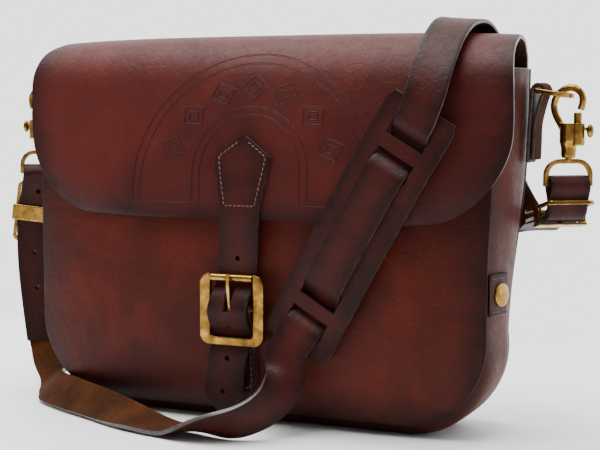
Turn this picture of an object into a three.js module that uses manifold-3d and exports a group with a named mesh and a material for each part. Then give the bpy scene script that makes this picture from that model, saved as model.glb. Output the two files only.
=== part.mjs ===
// A leather postal satchel: box body, flap over the top, one buckled closure strap,
// and a shoulder strap with a slotted pad, hung from a dee ring and a snap hook on each side.
// Millimetres, +Z up. The front faces -Y, +X is the wearer's left, and z = 0 is the
// surface that the bag stands on, under the middle of its bottom.

import * as THREE from 'three';
import * as BufferGeometryUtils from 'three/addons/utils/BufferGeometryUtils.js';
import Module from 'manifold-3d';

const wasm = await Module();
wasm.setup();

// ---- driving dimensions ----
const GAP = 0.5; // clearance between pieces that touch
const HIDE = 3.0; // body leather
const STRAP_T = 3.2; // harness leather of the straps

const HALF_W = 187; // front seam to the bag's middle
const TOP_FLARE = 5; // how much wider each side is at the top
const CORNER_R = 62; // rounded lower corners
const SEAM_Z = 10; // lower seam above the resting surface
const FRONT_Y = -45; // front seam
const BACK_Y = 35; // back seam
const MOUTH_Y = -38; // front panel's top edge
const FRONT_TOP_Z = 262;
const BACK_TOP_Z = 270;
const GUSSET_TOP_Z = 266;
const FRONT_BULGE = 17;
const GUSSET_BULGE = 6.5;
const BACK_TAPER = 10; // how much narrower the back is near its lower corners
const REST_HALF_Y = 26; // half the depth of the flat bottom

const HINGE_Z = 275; // where the back starts to bend over as the flap
const HINGE_Y = BACK_Y + HIDE / 2 + 0.5;
const CREST_Z = 292;
const FLAP_END_Z = 156;
const FLAP_HALF_W = 200;
const FLAP_CORNER_R = 62;
const FLAP_SHIFT = 9; // how far the flap's front hangs to one side

const STRAP_W = 29;
const BILLET_W = 31;
const BUCKLE_W = 53;
const BUCKLE_H = 53;
const BUCKLE_OPEN_W = 36;
const BUCKLE_X = 1;
const BUCKLE_Z = 89;
const BUCKLE_Y = -73.5; // the frame's middle plane

const PAD_W = 56;
const PAD_T = 3.4;
const PAD_L = 200;
const PAD_SLOTS = [20, 47, 153, 180]; // slot centres from the lower end
const PAD_LOW = [50, 65]; // lower end's centre, x and z
const PAD_LEAN = 30.1; // degrees from upright

const BAR_Z = 183; // height of both D-eyes' straight bars
const RING_Z = 246.2; // where the hook's bight sits on the dee ring
const RING_TILT = 9; // degrees, its outer end lower
const DEE_DEPTH = 24;
const EYE_W = 37;
const DEE_W = 26;
const WIRE_R = 1.7;

const BROWN = '#5a2a20';
const DARK = '#3c1c18';
const STRAP_BROWN = '#4c2823';
const BRASS = '#b08a3c';

// ---- small maths ----
const rad = THREE.MathUtils.degToRad;
const clamp = THREE.MathUtils.clamp;
const lerp = THREE.MathUtils.lerp;
const V = (x, y, z) => new THREE.Vector3(x, y, z);
const smooth = (x, a, b) => THREE.MathUtils.smoothstep(x, a, b);
const even = (n) => Array.from({ length: n + 1 }, (_, i) => i / n);

// ---- the group and its materials ----
const group = new THREE.Group();
group.name = 'postal_satchel';

function finish(color, metal) {
  return new THREE.MeshStandardMaterial({
    color,
    roughness: metal ? 0.35 : 0.55,
    metalness: metal ? 1 : 0,
  });
}

function add(name, geometry, color, metal = false) {
  const mesh = new THREE.Mesh(geometry, finish(color, metal));
  mesh.name = name;
  group.add(mesh);
  return mesh;
}

// ---- solids ----
function closed(geometry) {
  const g = geometry.clone();
  for (const name of Object.keys(g.attributes)) if (name !== 'position') g.deleteAttribute(name);
  return BufferGeometryUtils.mergeVertices(g, 1e-4);
}

function solid(geometry) {
  const g = closed(geometry);
  return new wasm.Manifold(
    new wasm.Mesh({
      numProp: 3,
      vertProperties: new Float32Array(g.attributes.position.array),
      triVerts: new Uint32Array(g.index.array),
    }),
  );
}

function geometryOf(manifold) {
  const mesh = manifold.getMesh();
  const g = new THREE.BufferGeometry();
  g.setAttribute('position', new THREE.BufferAttribute(new Float32Array(mesh.vertProperties), 3));
  g.setIndex(new THREE.BufferAttribute(new Uint32Array(mesh.triVerts), 1));
  return g;
}

const join = (first, ...rest) => geometryOf(rest.reduce((s, g) => s.add(solid(g)), solid(first)));
const cut = (first, ...rest) =>
  geometryOf(rest.reduce((s, g) => s.subtract(solid(g)), solid(first)));

// A sheet of leather: its middle surface is at(u, v), and it is thick along u x v.
function sheet(us, vs, thick, at) {
  const g = new THREE.BoxGeometry(1, 1, 1, us.length - 1, vs.length - 1, 1);
  const p = g.attributes.position;
  const step = 1e-3;
  for (let i = 0; i < p.count; i++) {
    const u = us[Math.round((p.getX(i) + 0.5) * (us.length - 1))];
    const v = vs[Math.round((p.getY(i) + 0.5) * (vs.length - 1))];
    const [u0, u1] = [Math.max(0, u - step), Math.min(1, u + step)];
    const [v0, v1] = [Math.max(0, v - step), Math.min(1, v + step)];
    const du = at(u1, v).sub(at(u0, v));
    const dv = at(u, v1).sub(at(u, v0));
    const q = at(u, v).addScaledVector(du.cross(dv).normalize(), p.getZ(i) * thick);
    p.setXYZ(i, q.x, q.y, q.z);
  }
  return closed(g);
}

// A round bar along a list of points.
function rod(points, radius, steps, sides = 8) {
  const path = new THREE.CatmullRomCurve3(points, false, 'centripetal');
  const section = new THREE.Shape();
  section.absarc(0, 0, radius, 0, 2 * Math.PI);
  return new THREE.ExtrudeGeometry(section, { steps, extrudePath: path, curveSegments: sides });
}

function post(radius, from, to, sides = 16) {
  const axis = to.clone().sub(from);
  const g = new THREE.CylinderGeometry(radius, radius, axis.length(), sides);
  g.applyQuaternion(new THREE.Quaternion().setFromUnitVectors(V(0, 1, 0), axis.normalize()));
  return g.translate(...from.clone().add(to).multiplyScalar(0.5).toArray());
}

function block(x0, x1, y0, y1, z0, z1) {
  return new THREE.BoxGeometry(x1 - x0, y1 - y0, z1 - z0).translate(
    (x0 + x1) / 2,
    (y0 + y1) / 2,
    (z0 + z1) / 2,
  );
}

function roundedRect(shape, w, h, r) {
  shape.moveTo(-w / 2 + r, -h / 2);
  shape.lineTo(w / 2 - r, -h / 2);
  shape.absarc(w / 2 - r, -h / 2 + r, r, -Math.PI / 2, 0);
  shape.lineTo(w / 2, h / 2 - r);
  shape.absarc(w / 2 - r, h / 2 - r, r, 0, Math.PI / 2);
  shape.lineTo(-w / 2 + r, h / 2);
  shape.absarc(-w / 2 + r, h / 2 - r, r, Math.PI / 2, Math.PI);
  shape.lineTo(-w / 2, -h / 2 + r);
  shape.absarc(-w / 2 + r, -h / 2 + r, r, Math.PI, 1.5 * Math.PI);
  return shape;
}

// A flat shape drawn in x and z, thick along y, its middle at y = 0.
function plate(shape, thick, curveSegments = 6) {
  const g = new THREE.ExtrudeGeometry(shape, { depth: thick, bevelEnabled: false, curveSegments });
  return g.translate(0, 0, -thick / 2).rotateX(Math.PI / 2);
}

// ---- body: front panel, gusset, back panel ----
const flare = (z) => TOP_FLARE * smooth(z, 100, 270);

// How far round a lower corner a height is: 0 at the bottom seam, 1 on the straight side.
function cornerShare(z) {
  const below = Math.max(0, SEAM_Z + CORNER_R - z) / CORNER_R;
  return Math.sqrt(Math.max(0, 1 - below ** 2));
}
const halfWidth = (z) => HALF_W + flare(z) - CORNER_R * (1 - cornerShare(z));
const taper = (z) => BACK_TAPER * (1 - smooth(z, 60, 200));

function frontY(x, z) {
  const side = clamp(Math.abs(x) / halfWidth(z), 0, 1);
  const up = clamp((z - SEAM_Z) / (FRONT_TOP_Z - SEAM_Z), 0, 1);
  const belly = (1 - side ** 4) * Math.sin(Math.PI * up ** 0.62) ** 0.7;
  return lerp(FRONT_Y, MOUTH_Y, smooth(z, 120, FRONT_TOP_Z)) - FRONT_BULGE * belly;
}

const panelRows = [0, 0.012, 0.035, 0.07, 0.115, 0.17, 0.24, 0.33, 0.44, 0.56, 0.68, 0.8, 0.9, 1];
const frontPanel = sheet(even(16), panelRows, HIDE, (u, v) => {
  const z = lerp(SEAM_Z, FRONT_TOP_Z, v);
  const x = (2 * u - 1) * (halfWidth(z) - 0.5);
  return V(x, frontY(x, z), z);
});
add('front_panel', frontPanel, BROWN);

const backPanel = sheet(even(2), panelRows, HIDE, (u, v) => {
  const z = lerp(SEAM_Z, BACK_TOP_Z, v);
  const half = halfWidth(z) - 0.5 - taper(z) * cornerShare(z);
  return V((2 * u - 1) * half, HINGE_Y - 0.5, z);
});
add('back_panel', backPanel, DARK);

// The gusset runs down one side, under the bottom and up the other. Its seams are the
// panels' outlines, its middle bulges out, and underneath it is flat where it rests.
const SIDE_L = GUSSET_TOP_Z - SEAM_Z - CORNER_R;
const ARC_L = (Math.PI / 2) * CORNER_R;
const BASE_L = 2 * (HALF_W - CORNER_R);
const RUN_L = 2 * SIDE_L + 2 * ARC_L + BASE_L;

// The seam line at a length along the strip: x, z and the way out.
function seam(s) {
  const mirrored = s > RUN_L / 2;
  const t = mirrored ? RUN_L - s : s;
  let point;
  if (t <= SIDE_L) {
    const z = GUSSET_TOP_Z - t;
    point = { x: -HALF_W - flare(z), z, ox: -1, oz: 0 };
  } else if (t <= SIDE_L + ARC_L) {
    const a = (t - SIDE_L) / CORNER_R;
    point = {
      x: -HALF_W + CORNER_R - CORNER_R * Math.cos(a),
      z: SEAM_Z + CORNER_R - CORNER_R * Math.sin(a),
      ox: -Math.cos(a),
      oz: -Math.sin(a),
    };
  } else {
    point = { x: -HALF_W + CORNER_R + (t - SIDE_L - ARC_L), z: SEAM_Z, ox: 0, oz: -1 };
  }
  if (mirrored) {
    point.x *= -1;
    point.ox *= -1;
  }
  return point;
}

const gussetRuns = [
  ...[0, 0.2, 0.42, 0.62, 0.82].map((t) => t * SIDE_L),
  ...even(7).map((t) => SIDE_L + t * ARC_L),
  ...[0.25, 0.5].map((t) => SIDE_L + ARC_L + t * BASE_L),
];
const gussetUs = [...gussetRuns, ...gussetRuns.slice(0, -1).reverse().map((s) => RUN_L - s)].map(
  (s) => s / RUN_L,
);
const GUSSET_FRONT = FRONT_Y + HIDE / 2 + 1.2;
const GUSSET_BACK = BACK_Y - HIDE / 2;
const gussetMid = (GUSSET_FRONT + GUSSET_BACK) / 2;
const REST_EDGE = (gussetMid - REST_HALF_Y - GUSSET_FRONT) / (GUSSET_BACK - GUSSET_FRONT);
const gussetVs = [0, REST_EDGE / 2, REST_EDGE, 0.33, 0.5, 0.67, 1 - REST_EDGE, 1 - REST_EDGE / 2, 1];

function gussetAt(u, v) {
  const s = seam(u * RUN_L);
  const lean = smooth(s.z, 120, FRONT_TOP_Z) * (MOUTH_Y - FRONT_Y);
  const y = lerp(GUSSET_FRONT + lean, GUSSET_BACK, v);
  const off = Math.abs(2 * v - 1);
  const flat = 1 - REST_EDGE * 2;
  const rise = off <= flat ? 1 : 1 - ((off - flat) / (1 - flat)) ** 2;
  const out = -1.5 + (SEAM_Z - HIDE / 2 + 1.5) * rise * (s.oz < 0 ? -s.oz : 0);
  const side = GUSSET_BULGE * (1 - off ** 2) * Math.abs(s.ox) - taper(s.z) * v;
  return V(s.x + s.ox * (out + side), y, s.z + s.oz * out);
}
add('gusset', sheet(gussetUs, gussetVs, HIDE, gussetAt), DARK);

// ---- flap ----
// Its section in y and z: over the top from the hinge line, then down the front.
const flapLine = new THREE.CatmullRomCurve3(
  [
    V(0, HINGE_Y, HINGE_Z),
    V(0, HINGE_Y - 8, HINGE_Z + 10),
    V(0, 10, CREST_Z - 2),
    V(0, -12, CREST_Z - 1.5),
    V(0, -33, CREST_Z - 9),
    V(0, -48, CREST_Z - 26),
    V(0, -57, CREST_Z - 55),
    V(0, -62.5, CREST_Z - 85),
    V(0, -65.5, CREST_Z - 112),
    V(0, -66.5, FLAP_END_Z),
  ],
  false,
  'centripetal',
);
const FLAP_L = flapLine.getLength();
const FLAP_CORNER = FLAP_CORNER_R / FLAP_L;

function flapHalfWidth(u) {
  const body = FLAP_HALF_W - 10 * (1 - smooth(u, 0.1, 0.55)) - 6 * smooth(u, 0.62, 1);
  const round = clamp((u - 1 + FLAP_CORNER) / FLAP_CORNER, 0, 1);
  return body - FLAP_CORNER_R * (1 - Math.sqrt(1 - round ** 2));
}

function flapAt(u, v) {
  const p = flapLine.getPointAt(clamp(u, 0, 1));
  const side = 2 * v - 1;
  const drop = -4 * side ** 4 * smooth(u, 0.05, 0.3) * (1 - smooth(u, 0.3, 0.6));
  const back = 9 * side ** 4 * smooth(u, 0.35, 0.75);
  const shift = FLAP_SHIFT * (0.7 * smooth(u, 0, 0.3) + 0.3 * smooth(u, 0.4, 0.8));
  return V(side * flapHalfWidth(u) + shift, p.y + back, p.z + drop);
}
const flapUs = [
  ...even(11).map((t) => t * (1 - FLAP_CORNER)),
  ...[0.25, 0.45, 0.62, 0.76, 0.87, 0.95, 1].map((t) => 1 - FLAP_CORNER + t * FLAP_CORNER),
];
add('flap', sheet(flapUs, even(14), HIDE, flapAt), BROWN);

// Height on the flap or panel that a piece in front of them lies against.
function frontSurfaceY(x, z) {
  if (z < FLAP_END_Z - 2) return frontY(x, z) - HIDE / 2;
  let low = 0.3;
  let high = 1;
  for (let i = 0; i < 24; i++) {
    const mid = (low + high) / 2;
    if (flapAt(mid, 0.5 + x / 400).z > z) low = mid;
    else high = mid;
  }
  return flapAt(low, 0.5 + x / 400).y - HIDE / 2;
}

// ---- closure: chape, buckle, billet ----
const CHAPE_LOW = 26;
const chape = sheet(
  [0, 0.15, 0.4, 0.6, 0.75, 0.85, 0.93, 1],
  even(2),
  STRAP_T,
  (u, v) => {
    const z = lerp(CHAPE_LOW, BUCKLE_Z - 6, u);
    const x = BUCKLE_X + (v - 0.5) * (BILLET_W - 1) * (1 - 0.25 * (1 - smooth(u, 0, 0.12)));
    return V(x, frontSurfaceY(BUCKLE_X, z) - STRAP_T / 2 - GAP, z);
  },
);
add('closure_chape', chape, STRAP_BROWN);

const frameShape = roundedRect(new THREE.Shape(), BUCKLE_W, BUCKLE_H, 8);
frameShape.holes.push(roundedRect(new THREE.Path(), BUCKLE_OPEN_W, BUCKLE_H - 12, 3));
const TOP_BAR_Z = BUCKLE_H / 2 - 3;
const frame = join(
  cut(
    plate(frameShape, 4),
    block(-BUCKLE_OPEN_W / 2 + 0.1, BUCKLE_OPEN_W / 2 - 0.1, -5, 5, TOP_BAR_Z - 5, TOP_BAR_Z + 5),
  ),
  post(1.4, V(-BUCKLE_OPEN_W / 2 - 2, 0, TOP_BAR_Z), V(BUCKLE_OPEN_W / 2 + 2, 0, TOP_BAR_Z)),
  post(1.5, V(-BUCKLE_OPEN_W / 2 - 2, 0, 0), V(BUCKLE_OPEN_W / 2 + 2, 0, 0)),
);
add('buckle_frame', frame.translate(BUCKLE_X, BUCKLE_Y, BUCKLE_Z), BRASS, true);

const rollerRing = new THREE.Shape();
rollerRing.absarc(0, 0, 2.9, 0, 2 * Math.PI);
const rollerHole = new THREE.Path();
rollerHole.absarc(0, 0, 1.9, 0, 2 * Math.PI);
rollerRing.holes.push(rollerHole);
const ROLLER_L = BUCKLE_OPEN_W - 1.5;
const roller = new THREE.ExtrudeGeometry(rollerRing, {
  depth: ROLLER_L,
  bevelEnabled: false,
  curveSegments: 16,
})
  .translate(0, 0, -ROLLER_L / 2)
  .rotateY(Math.PI / 2);
add('buckle_roller', roller.translate(BUCKLE_X, BUCKLE_Y, BUCKLE_Z + TOP_BAR_Z), BRASS, true);

// The prong's eye goes round the centre bar, and its pin rests on the roller.
const eyeShape = new THREE.Shape();
eyeShape.absarc(0, 0, 3.1, 0, 2 * Math.PI);
const eyeHole = new THREE.Path();
eyeHole.absarc(0, 0, 1.8, 0, 2 * Math.PI);
eyeShape.holes.push(eyeHole);
const prongEye = new THREE.ExtrudeGeometry(eyeShape, {
  depth: 5,
  bevelEnabled: false,
  curveSegments: 12,
})
  .translate(0, 0, -2.5)
  .rotateY(Math.PI / 2);
const prong = join(
  prongEye,
  rod([V(0, -2.4, 1.2), V(0, -3.6, 9), V(0, -4.9, 17), V(0, -4.9, 27)], 1.5, 6, 6),
);
const PRONG_X = BUCKLE_X - 1;
add('buckle_prong', prong.translate(PRONG_X, BUCKLE_Y, BUCKLE_Z), BRASS, true);

// The billet: five-sided head on the flap, behind the roller, over the centre bar,
// behind the lower bar, and on down to a pointed tip.
const BILLET_TIP = 8;
const BILLET_L = 210;
const billetKnots = [
  // distance down and half width
  [0, 1.5],
  [15, 23],
  [27, 20.5],
  [48, 16.5],
  [56, BILLET_W / 2],
  [BILLET_L - 15, BILLET_W / 2],
  [BILLET_L, 2],
];
function billetHalf(d) {
  for (let i = 1; i < billetKnots.length; i++) {
    const [d0, h0] = billetKnots[i - 1];
    const [d1, h1] = billetKnots[i];
    if (d <= d1) return lerp(h0, h1, (d - d0) / (d1 - d0));
  }
  return 2;
}
const BILLET_LINE = new THREE.CatmullRomCurve3(
  [
    V(7, frontSurfaceY(6, 217) - 2.1, 217),
    V(6.5, frontSurfaceY(5, 190) - 2.1, 190),
    V(5.5, frontSurfaceY(3, 160) - 2.4, 160),
    V(4.7, -69.4, 145),
    V(3.5, -68.4, 125),
    V(2.2, BUCKLE_Y + 5.0, BUCKLE_Z + TOP_BAR_Z + 1),
    V(1.9, BUCKLE_Y + 4.4, BUCKLE_Z + TOP_BAR_Z - 4),
    V(0.3, BUCKLE_Y - 2.0, BUCKLE_Z + 7),
    V(-0.6, BUCKLE_Y - 3.8, BUCKLE_Z),
    V(-0.8, BUCKLE_Y - 2.0, BUCKLE_Z - 7),
    V(-1.2, BUCKLE_Y + 4.3, BUCKLE_Z - TOP_BAR_Z + 4.6),
    V(-1.8, BUCKLE_Y + 4.0, BUCKLE_Z - TOP_BAR_Z - 1),
    V(-3.6, -69.8, 55),
    V(-7.5, -69.6, 35),
    V(-11.3, -65, BILLET_TIP),
  ],
  false,
  'centripetal',
);
const billetUs = [0, 15, 27, 38, 48, 56, 64, 72, 80, 87, 93, 99, 104, 108, 112, 116, 120, 124, 128]
  .concat([132, 137, 143, 149, 156, 165, 180, 195, 203, BILLET_L])
  .map((d) => d / BILLET_L);
const billetSheet = sheet(billetUs, [0, 0.5, 1], STRAP_T, (u, v) => {
  const p = BILLET_LINE.getPointAt(1 - u);
  const h = billetHalf((1 - u) * BILLET_L);
  return p.add(V((2 * v - 1) * h, 0, 0));
});
const prongSlot = block(PRONG_X - 3.2, PRONG_X + 3.2, -90, -60, BUCKLE_Z - 4, BUCKLE_Z + 16);
add('closure_billet', cut(billetSheet, prongSlot), STRAP_BROWN);

// ---- shoulder pad ----
const padDir = V(Math.sin(rad(PAD_LEAN)), 0, Math.cos(rad(PAD_LEAN)));
const padSide = V(Math.cos(rad(PAD_LEAN)), 0, -Math.sin(rad(PAD_LEAN)));

// Depth of the pad's middle surface at a length along it: over the panel, then the flap.
function padY(s) {
  const z = PAD_LOW[1] + s * padDir.z;
  const over = lerp(-70, -74.5, smooth(z, 70, 150));
  return over + 5.5 * smooth(z, 190, 245);
}

function padPoint(s, across, lift = 0) {
  return V(
    PAD_LOW[0] + s * padDir.x + across * padSide.x,
    padY(s) - lift,
    PAD_LOW[1] + s * padDir.z + across * padSide.z,
  );
}

const padSheet = sheet(even(20), [0, 0.5, 1], PAD_T, (u, v) => {
  const s = u * PAD_L;
  const end = Math.min(s, PAD_L - s);
  const half = PAD_W / 2 - 3 * (1 - smooth(end, 0, 8));
  return padPoint(s, (2 * v - 1) * half);
});
const slots = PAD_SLOTS.map((s, i) => {
  const g = new THREE.BoxGeometry(STRAP_W + 3, 16, 18);
  g.rotateY(rad(PAD_LEAN));
  const p = padPoint(s + (i % 2 ? -1 : 1), 0);
  return g.translate(p.x, p.y, p.z);
});
add('shoulder_pad', cut(padSheet, ...slots), STRAP_BROWN);

// ---- shoulder strap ----
// Each station is a middle point, the way across the strap, and how wide it is there.
const LEFT = { bar: V(-226, 7, BAR_Z), across: V(0.9, 0.43, 0).normalize(), side: -1 };
const RIGHT = { bar: V(227.5, 16, BAR_Z), across: V(0.8, 0.6, 0), side: 1 };
const LAYER = STRAP_T / 2 + 0.35; // middle of each layer from the doubled strap's middle
const LOOP_R = 6.8;

const stations = [];
function station(point, across) {
  stations.push({ point, across });
}

// Left end, from its cut tip up the front layer, over the D-eye's bar and down the back.
const out = LEFT.across.clone().cross(V(0, 0, 1)); // away from the bag's front
const leftAt = (dx, layer, z) =>
  V(LEFT.bar.x + dx, LEFT.bar.y, z).addScaledVector(out, layer);
station(leftAt(0, LAYER, 40), LEFT.across);
station(leftAt(-5, LAYER, 75), LEFT.across);
station(leftAt(-8.5, LAYER, 110), LEFT.across);
station(leftAt(-8, LAYER, 145), LEFT.across);
station(leftAt(-3.5, LAYER + 0.6, 166), LEFT.across);
for (let a = 0; a <= 180; a += 30) {
  const r = rad(a);
  station(leftAt(0, LOOP_R * Math.cos(r), BAR_Z + LOOP_R * Math.sin(r) - 2), LEFT.across);
}
station(leftAt(-3.5, -LAYER - 0.6, 166), LEFT.across);
station(leftAt(-8, -LAYER, 145), LEFT.across);
station(leftAt(-8.5, -LAYER, 110), LEFT.across);
station(leftAt(-5, -LAYER, 75), LEFT.across);
station(leftAt(-1.5, -LAYER - 0.2, 52), LEFT.across);

// Down to the surface, along it on edge, over on its side, and up the front.
station(V(-223, 7, 36), V(0.9, 0.42, 0.05));
station(V(-215, 0, 24), V(0.8, 0.52, 0.28));
station(V(-200, -13, 15.5), V(0.6, 0.62, 0.5));
station(V(-190, -32, 13), V(0.35, 0.7, 0.62));
station(V(-177, -51, 12.5), V(0.12, 0.74, 0.66));
station(V(-150, -68, 12.5), V(-0.2, 0.75, 0.62));
station(V(-112, -84, 10.5), V(-0.35, 0.8, 0.48));
station(V(-70, -102, 8), V(-0.25, 0.9, 0.32));
station(V(-28, -112, 4.5), V(0.02, 1, 0.02));
station(V(8, -119, 11.5), V(0.1, 0.75, -0.55));
station(V(30, -112, 16.5), V(-0.1, 0.5, -0.85));
station(V(45, -96, 28), V(0.2, 0.3, -0.92));
station(V(50, -83, 45), V(0.75, 0.1, -0.62));
station(padPoint(-6, 0, 8), padSide);

// Through the pad: over its lower end, in at one slot, out at the next, and again.
const OVER = STRAP_T / 2 + PAD_T / 2 + 1;
const weave = [
  [10, OVER],
  [16, OVER - 1],
  [20.5, 0],
  [25, -OVER],
  [33.5, -OVER - 0.2],
  [42, -OVER],
  [46.5, 0],
  [51, OVER - 1],
  [58, OVER],
  [80, OVER],
  [100, OVER],
  [120, OVER],
  [142, OVER],
  [149, OVER - 1],
  [153.5, 0],
  [158, -OVER],
  [166.5, -OVER - 0.2],
  [175, -OVER],
  [179.5, 0],
  [184, OVER - 1],
  [191, OVER],
];
for (const [s, lift] of weave) station(padPoint(s, 0, lift), padSide);

// Over the flap's top, down behind the bag, round its lower bend and up to the right end.
station(V(151, -73.5, 245), V(0.86, 0, -0.5));
station(V(154, -63, 268), V(0.87, -0.1, -0.45));
station(V(154, -38, 290), V(0.88, -0.25, -0.35));
station(V(152.5, -9, 300), V(0.95, -0.2, -0.15));
station(V(154, 20, 298), V(0.96, -0.15, 0.05));
station(V(158, 41, 279), V(0.98, -0.1, 0.1));
station(V(163, 46, 240), V(1, 0, 0));
station(V(165, 48, 212), V(1, 0, 0));
station(V(167, 55, 188), V(0.99, 0.1, 0));
station(V(172, 66, 167), V(0.93, 0.35, 0));
station(V(181, 71, 151), V(0.86, 0.5, 0));
station(V(190, 66.5, 145.5), V(0.82, 0.57, 0));

// Right end: from behind the bag out through the Conway buckle, up to the D-eye's bar,
// over it and back the same way. The doubled stretch drops, then bends in under the bar.
const TILT = rad(78);
const BEND_R = 10;
const BEND_Z = BAR_Z - 14;
const outR = RIGHT.across.clone().cross(V(0, 0, 1)); // away from the bag
const rightAt = (away, z) => RIGHT.bar.clone().setZ(z).addScaledVector(outR, away);
function doubled(d, layer) {
  const turn = Math.min(d / BEND_R, TILT);
  const on = Math.max(0, d - BEND_R * TILT);
  const r = BEND_R + layer;
  return rightAt(
    -BEND_R + r * Math.cos(turn) - on * Math.sin(TILT),
    BEND_Z - r * Math.sin(turn) - on * Math.cos(TILT),
  );
}
const doubledSteps = [0, 5, 10, 18, 27, 37, 47];
station(doubled(57, LAYER - 0.6), RIGHT.across);
for (const d of doubledSteps.slice().reverse()) station(doubled(d, LAYER), RIGHT.across);
station(rightAt(4.2, BAR_Z - 8), RIGHT.across);
for (let a = 0; a <= 180; a += 30) {
  const r = rad(a);
  station(rightAt(LOOP_R * Math.cos(r), BAR_Z + LOOP_R * Math.sin(r) - 2), RIGHT.across);
}
station(rightAt(-4.2, BAR_Z - 8), RIGHT.across);
for (const d of [...doubledSteps, 55]) station(doubled(d, -LAYER), RIGHT.across);

const strapLine = new THREE.CatmullRomCurve3(stations.map((s) => s.point), false, 'centripetal');
const acrossLine = new THREE.CatmullRomCurve3(
  stations.map((s) => s.across.clone().normalize()),
  false,
  'centripetal',
);
const LAST = stations.length - 1;

// The strap's middle and its way across at a station number, whole or between two.
function strapFrame(n) {
  const t = clamp(n / LAST, 0, 1);
  const along = strapLine.getTangent(t);
  const across = acrossLine.getPoint(t);
  across.addScaledVector(along, -across.dot(along)).normalize();
  return { point: strapLine.getPoint(t), along, across };
}

const strapUs = even(LAST * 2);
const strapSheet = sheet(strapUs, [0, 1], STRAP_T, (u, v) => {
  const f = strapFrame(u * LAST);
  return f.point.addScaledVector(f.across, (v - 0.5) * STRAP_W);
});

// ---- Conway buckles: wire frame, flat bar in front, stud through both layers ----
const CONWAY_W = 37;
const CONWAY_H = 52;
const CONWAY_ALONG = 21.2; // the right one's middle, past the start of the bend
function conway() {
  const wire = roundedRect(new THREE.Shape(), CONWAY_W, CONWAY_H, 5);
  wire.holes.push(roundedRect(new THREE.Path(), CONWAY_W - 6, CONWAY_H - 6, 3));
  const behind = plate(wire, 3).translate(0, STRAP_T + 4.2, 0);
  const bar = block(-CONWAY_W / 2, CONWAY_W / 2, -STRAP_T - 3.4, -STRAP_T - 1.4, -6.5, 6.5);
  const lugs = [-1, 1].map((side) => {
    const x = side * (CONWAY_W / 2 - 1.5);
    return block(x - 1.4, x + 1.4, -STRAP_T - 3, STRAP_T + 4.2, -5, 5);
  });
  const stud = post(2, V(0, -STRAP_T - 2, 0), V(0, STRAP_T + 1.4, 0), 10);
  return join(behind, bar, ...lugs, stud);
}

function placed(geometry, x, y, z, origin) {
  return geometry.applyMatrix4(new THREE.Matrix4().makeBasis(x, y, z).setPosition(origin));
}

const leftConwayZ = 147;
const leftUp = V(0, 0, 1).addScaledVector(LEFT.across, 0.12).normalize();
const leftIn = leftUp.clone().cross(LEFT.across).normalize();
const leftAcross = leftIn.clone().cross(leftUp).normalize();
const leftConwayAt = leftAt(-8, 0, leftConwayZ);
add(
  'left_conway_buckle',
  placed(conway(), leftAcross, leftIn, leftUp, leftConwayAt),
  BRASS,
  true,
);
const rightUp = outR.clone().multiplyScalar(Math.sin(TILT)).setZ(Math.cos(TILT));
const rightAcross = RIGHT.across.clone();
const rightIn = rightUp.clone().cross(rightAcross).normalize();
const rightConwayAt = doubled(CONWAY_ALONG, 0);
add(
  'right_conway_buckle',
  placed(conway(), rightAcross, rightIn, rightUp, rightConwayAt),
  BRASS,
  true,
);

const studHole = (at, way) =>
  post(2.7, at.clone().addScaledVector(way, -9), at.clone().addScaledVector(way, 9), 10);
const studHoles = [studHole(leftConwayAt, leftIn), studHole(rightConwayAt, rightIn)];
add('shoulder_strap', cut(strapSheet, ...studHoles), STRAP_BROWN);

// ---- side hardware, the same on both sides ----
const GATE_OFF = 6.5; // the gate's axis from the swivel's axis, away from the bag
const STEM_TOP = 24.6;
const STEM_R = 2;

// A dee ring's outline: its straight bar along x at z = 0, rounded at the other side.
function dee(width, high) {
  const w = 2 * WIRE_R;
  const r = Math.min(width / 2, 12);
  const outline = (path, inset, low) => {
    path.moveTo(-width / 2 + inset, low);
    path.lineTo(width / 2 - inset, low);
    path.lineTo(width / 2 - inset, high - r);
    path.absarc(width / 2 - r, high - r, r - inset, 0, Math.PI / 2);
    path.absarc(-width / 2 + r, high - r, r - inset, Math.PI / 2, Math.PI);
    path.lineTo(-width / 2 + inset, low);
    return path;
  };
  const shape = outline(new THREE.Shape(), 0, -WIRE_R);
  shape.holes.push(outline(new THREE.Path(), w, WIRE_R));
  return shape;
}

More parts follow.
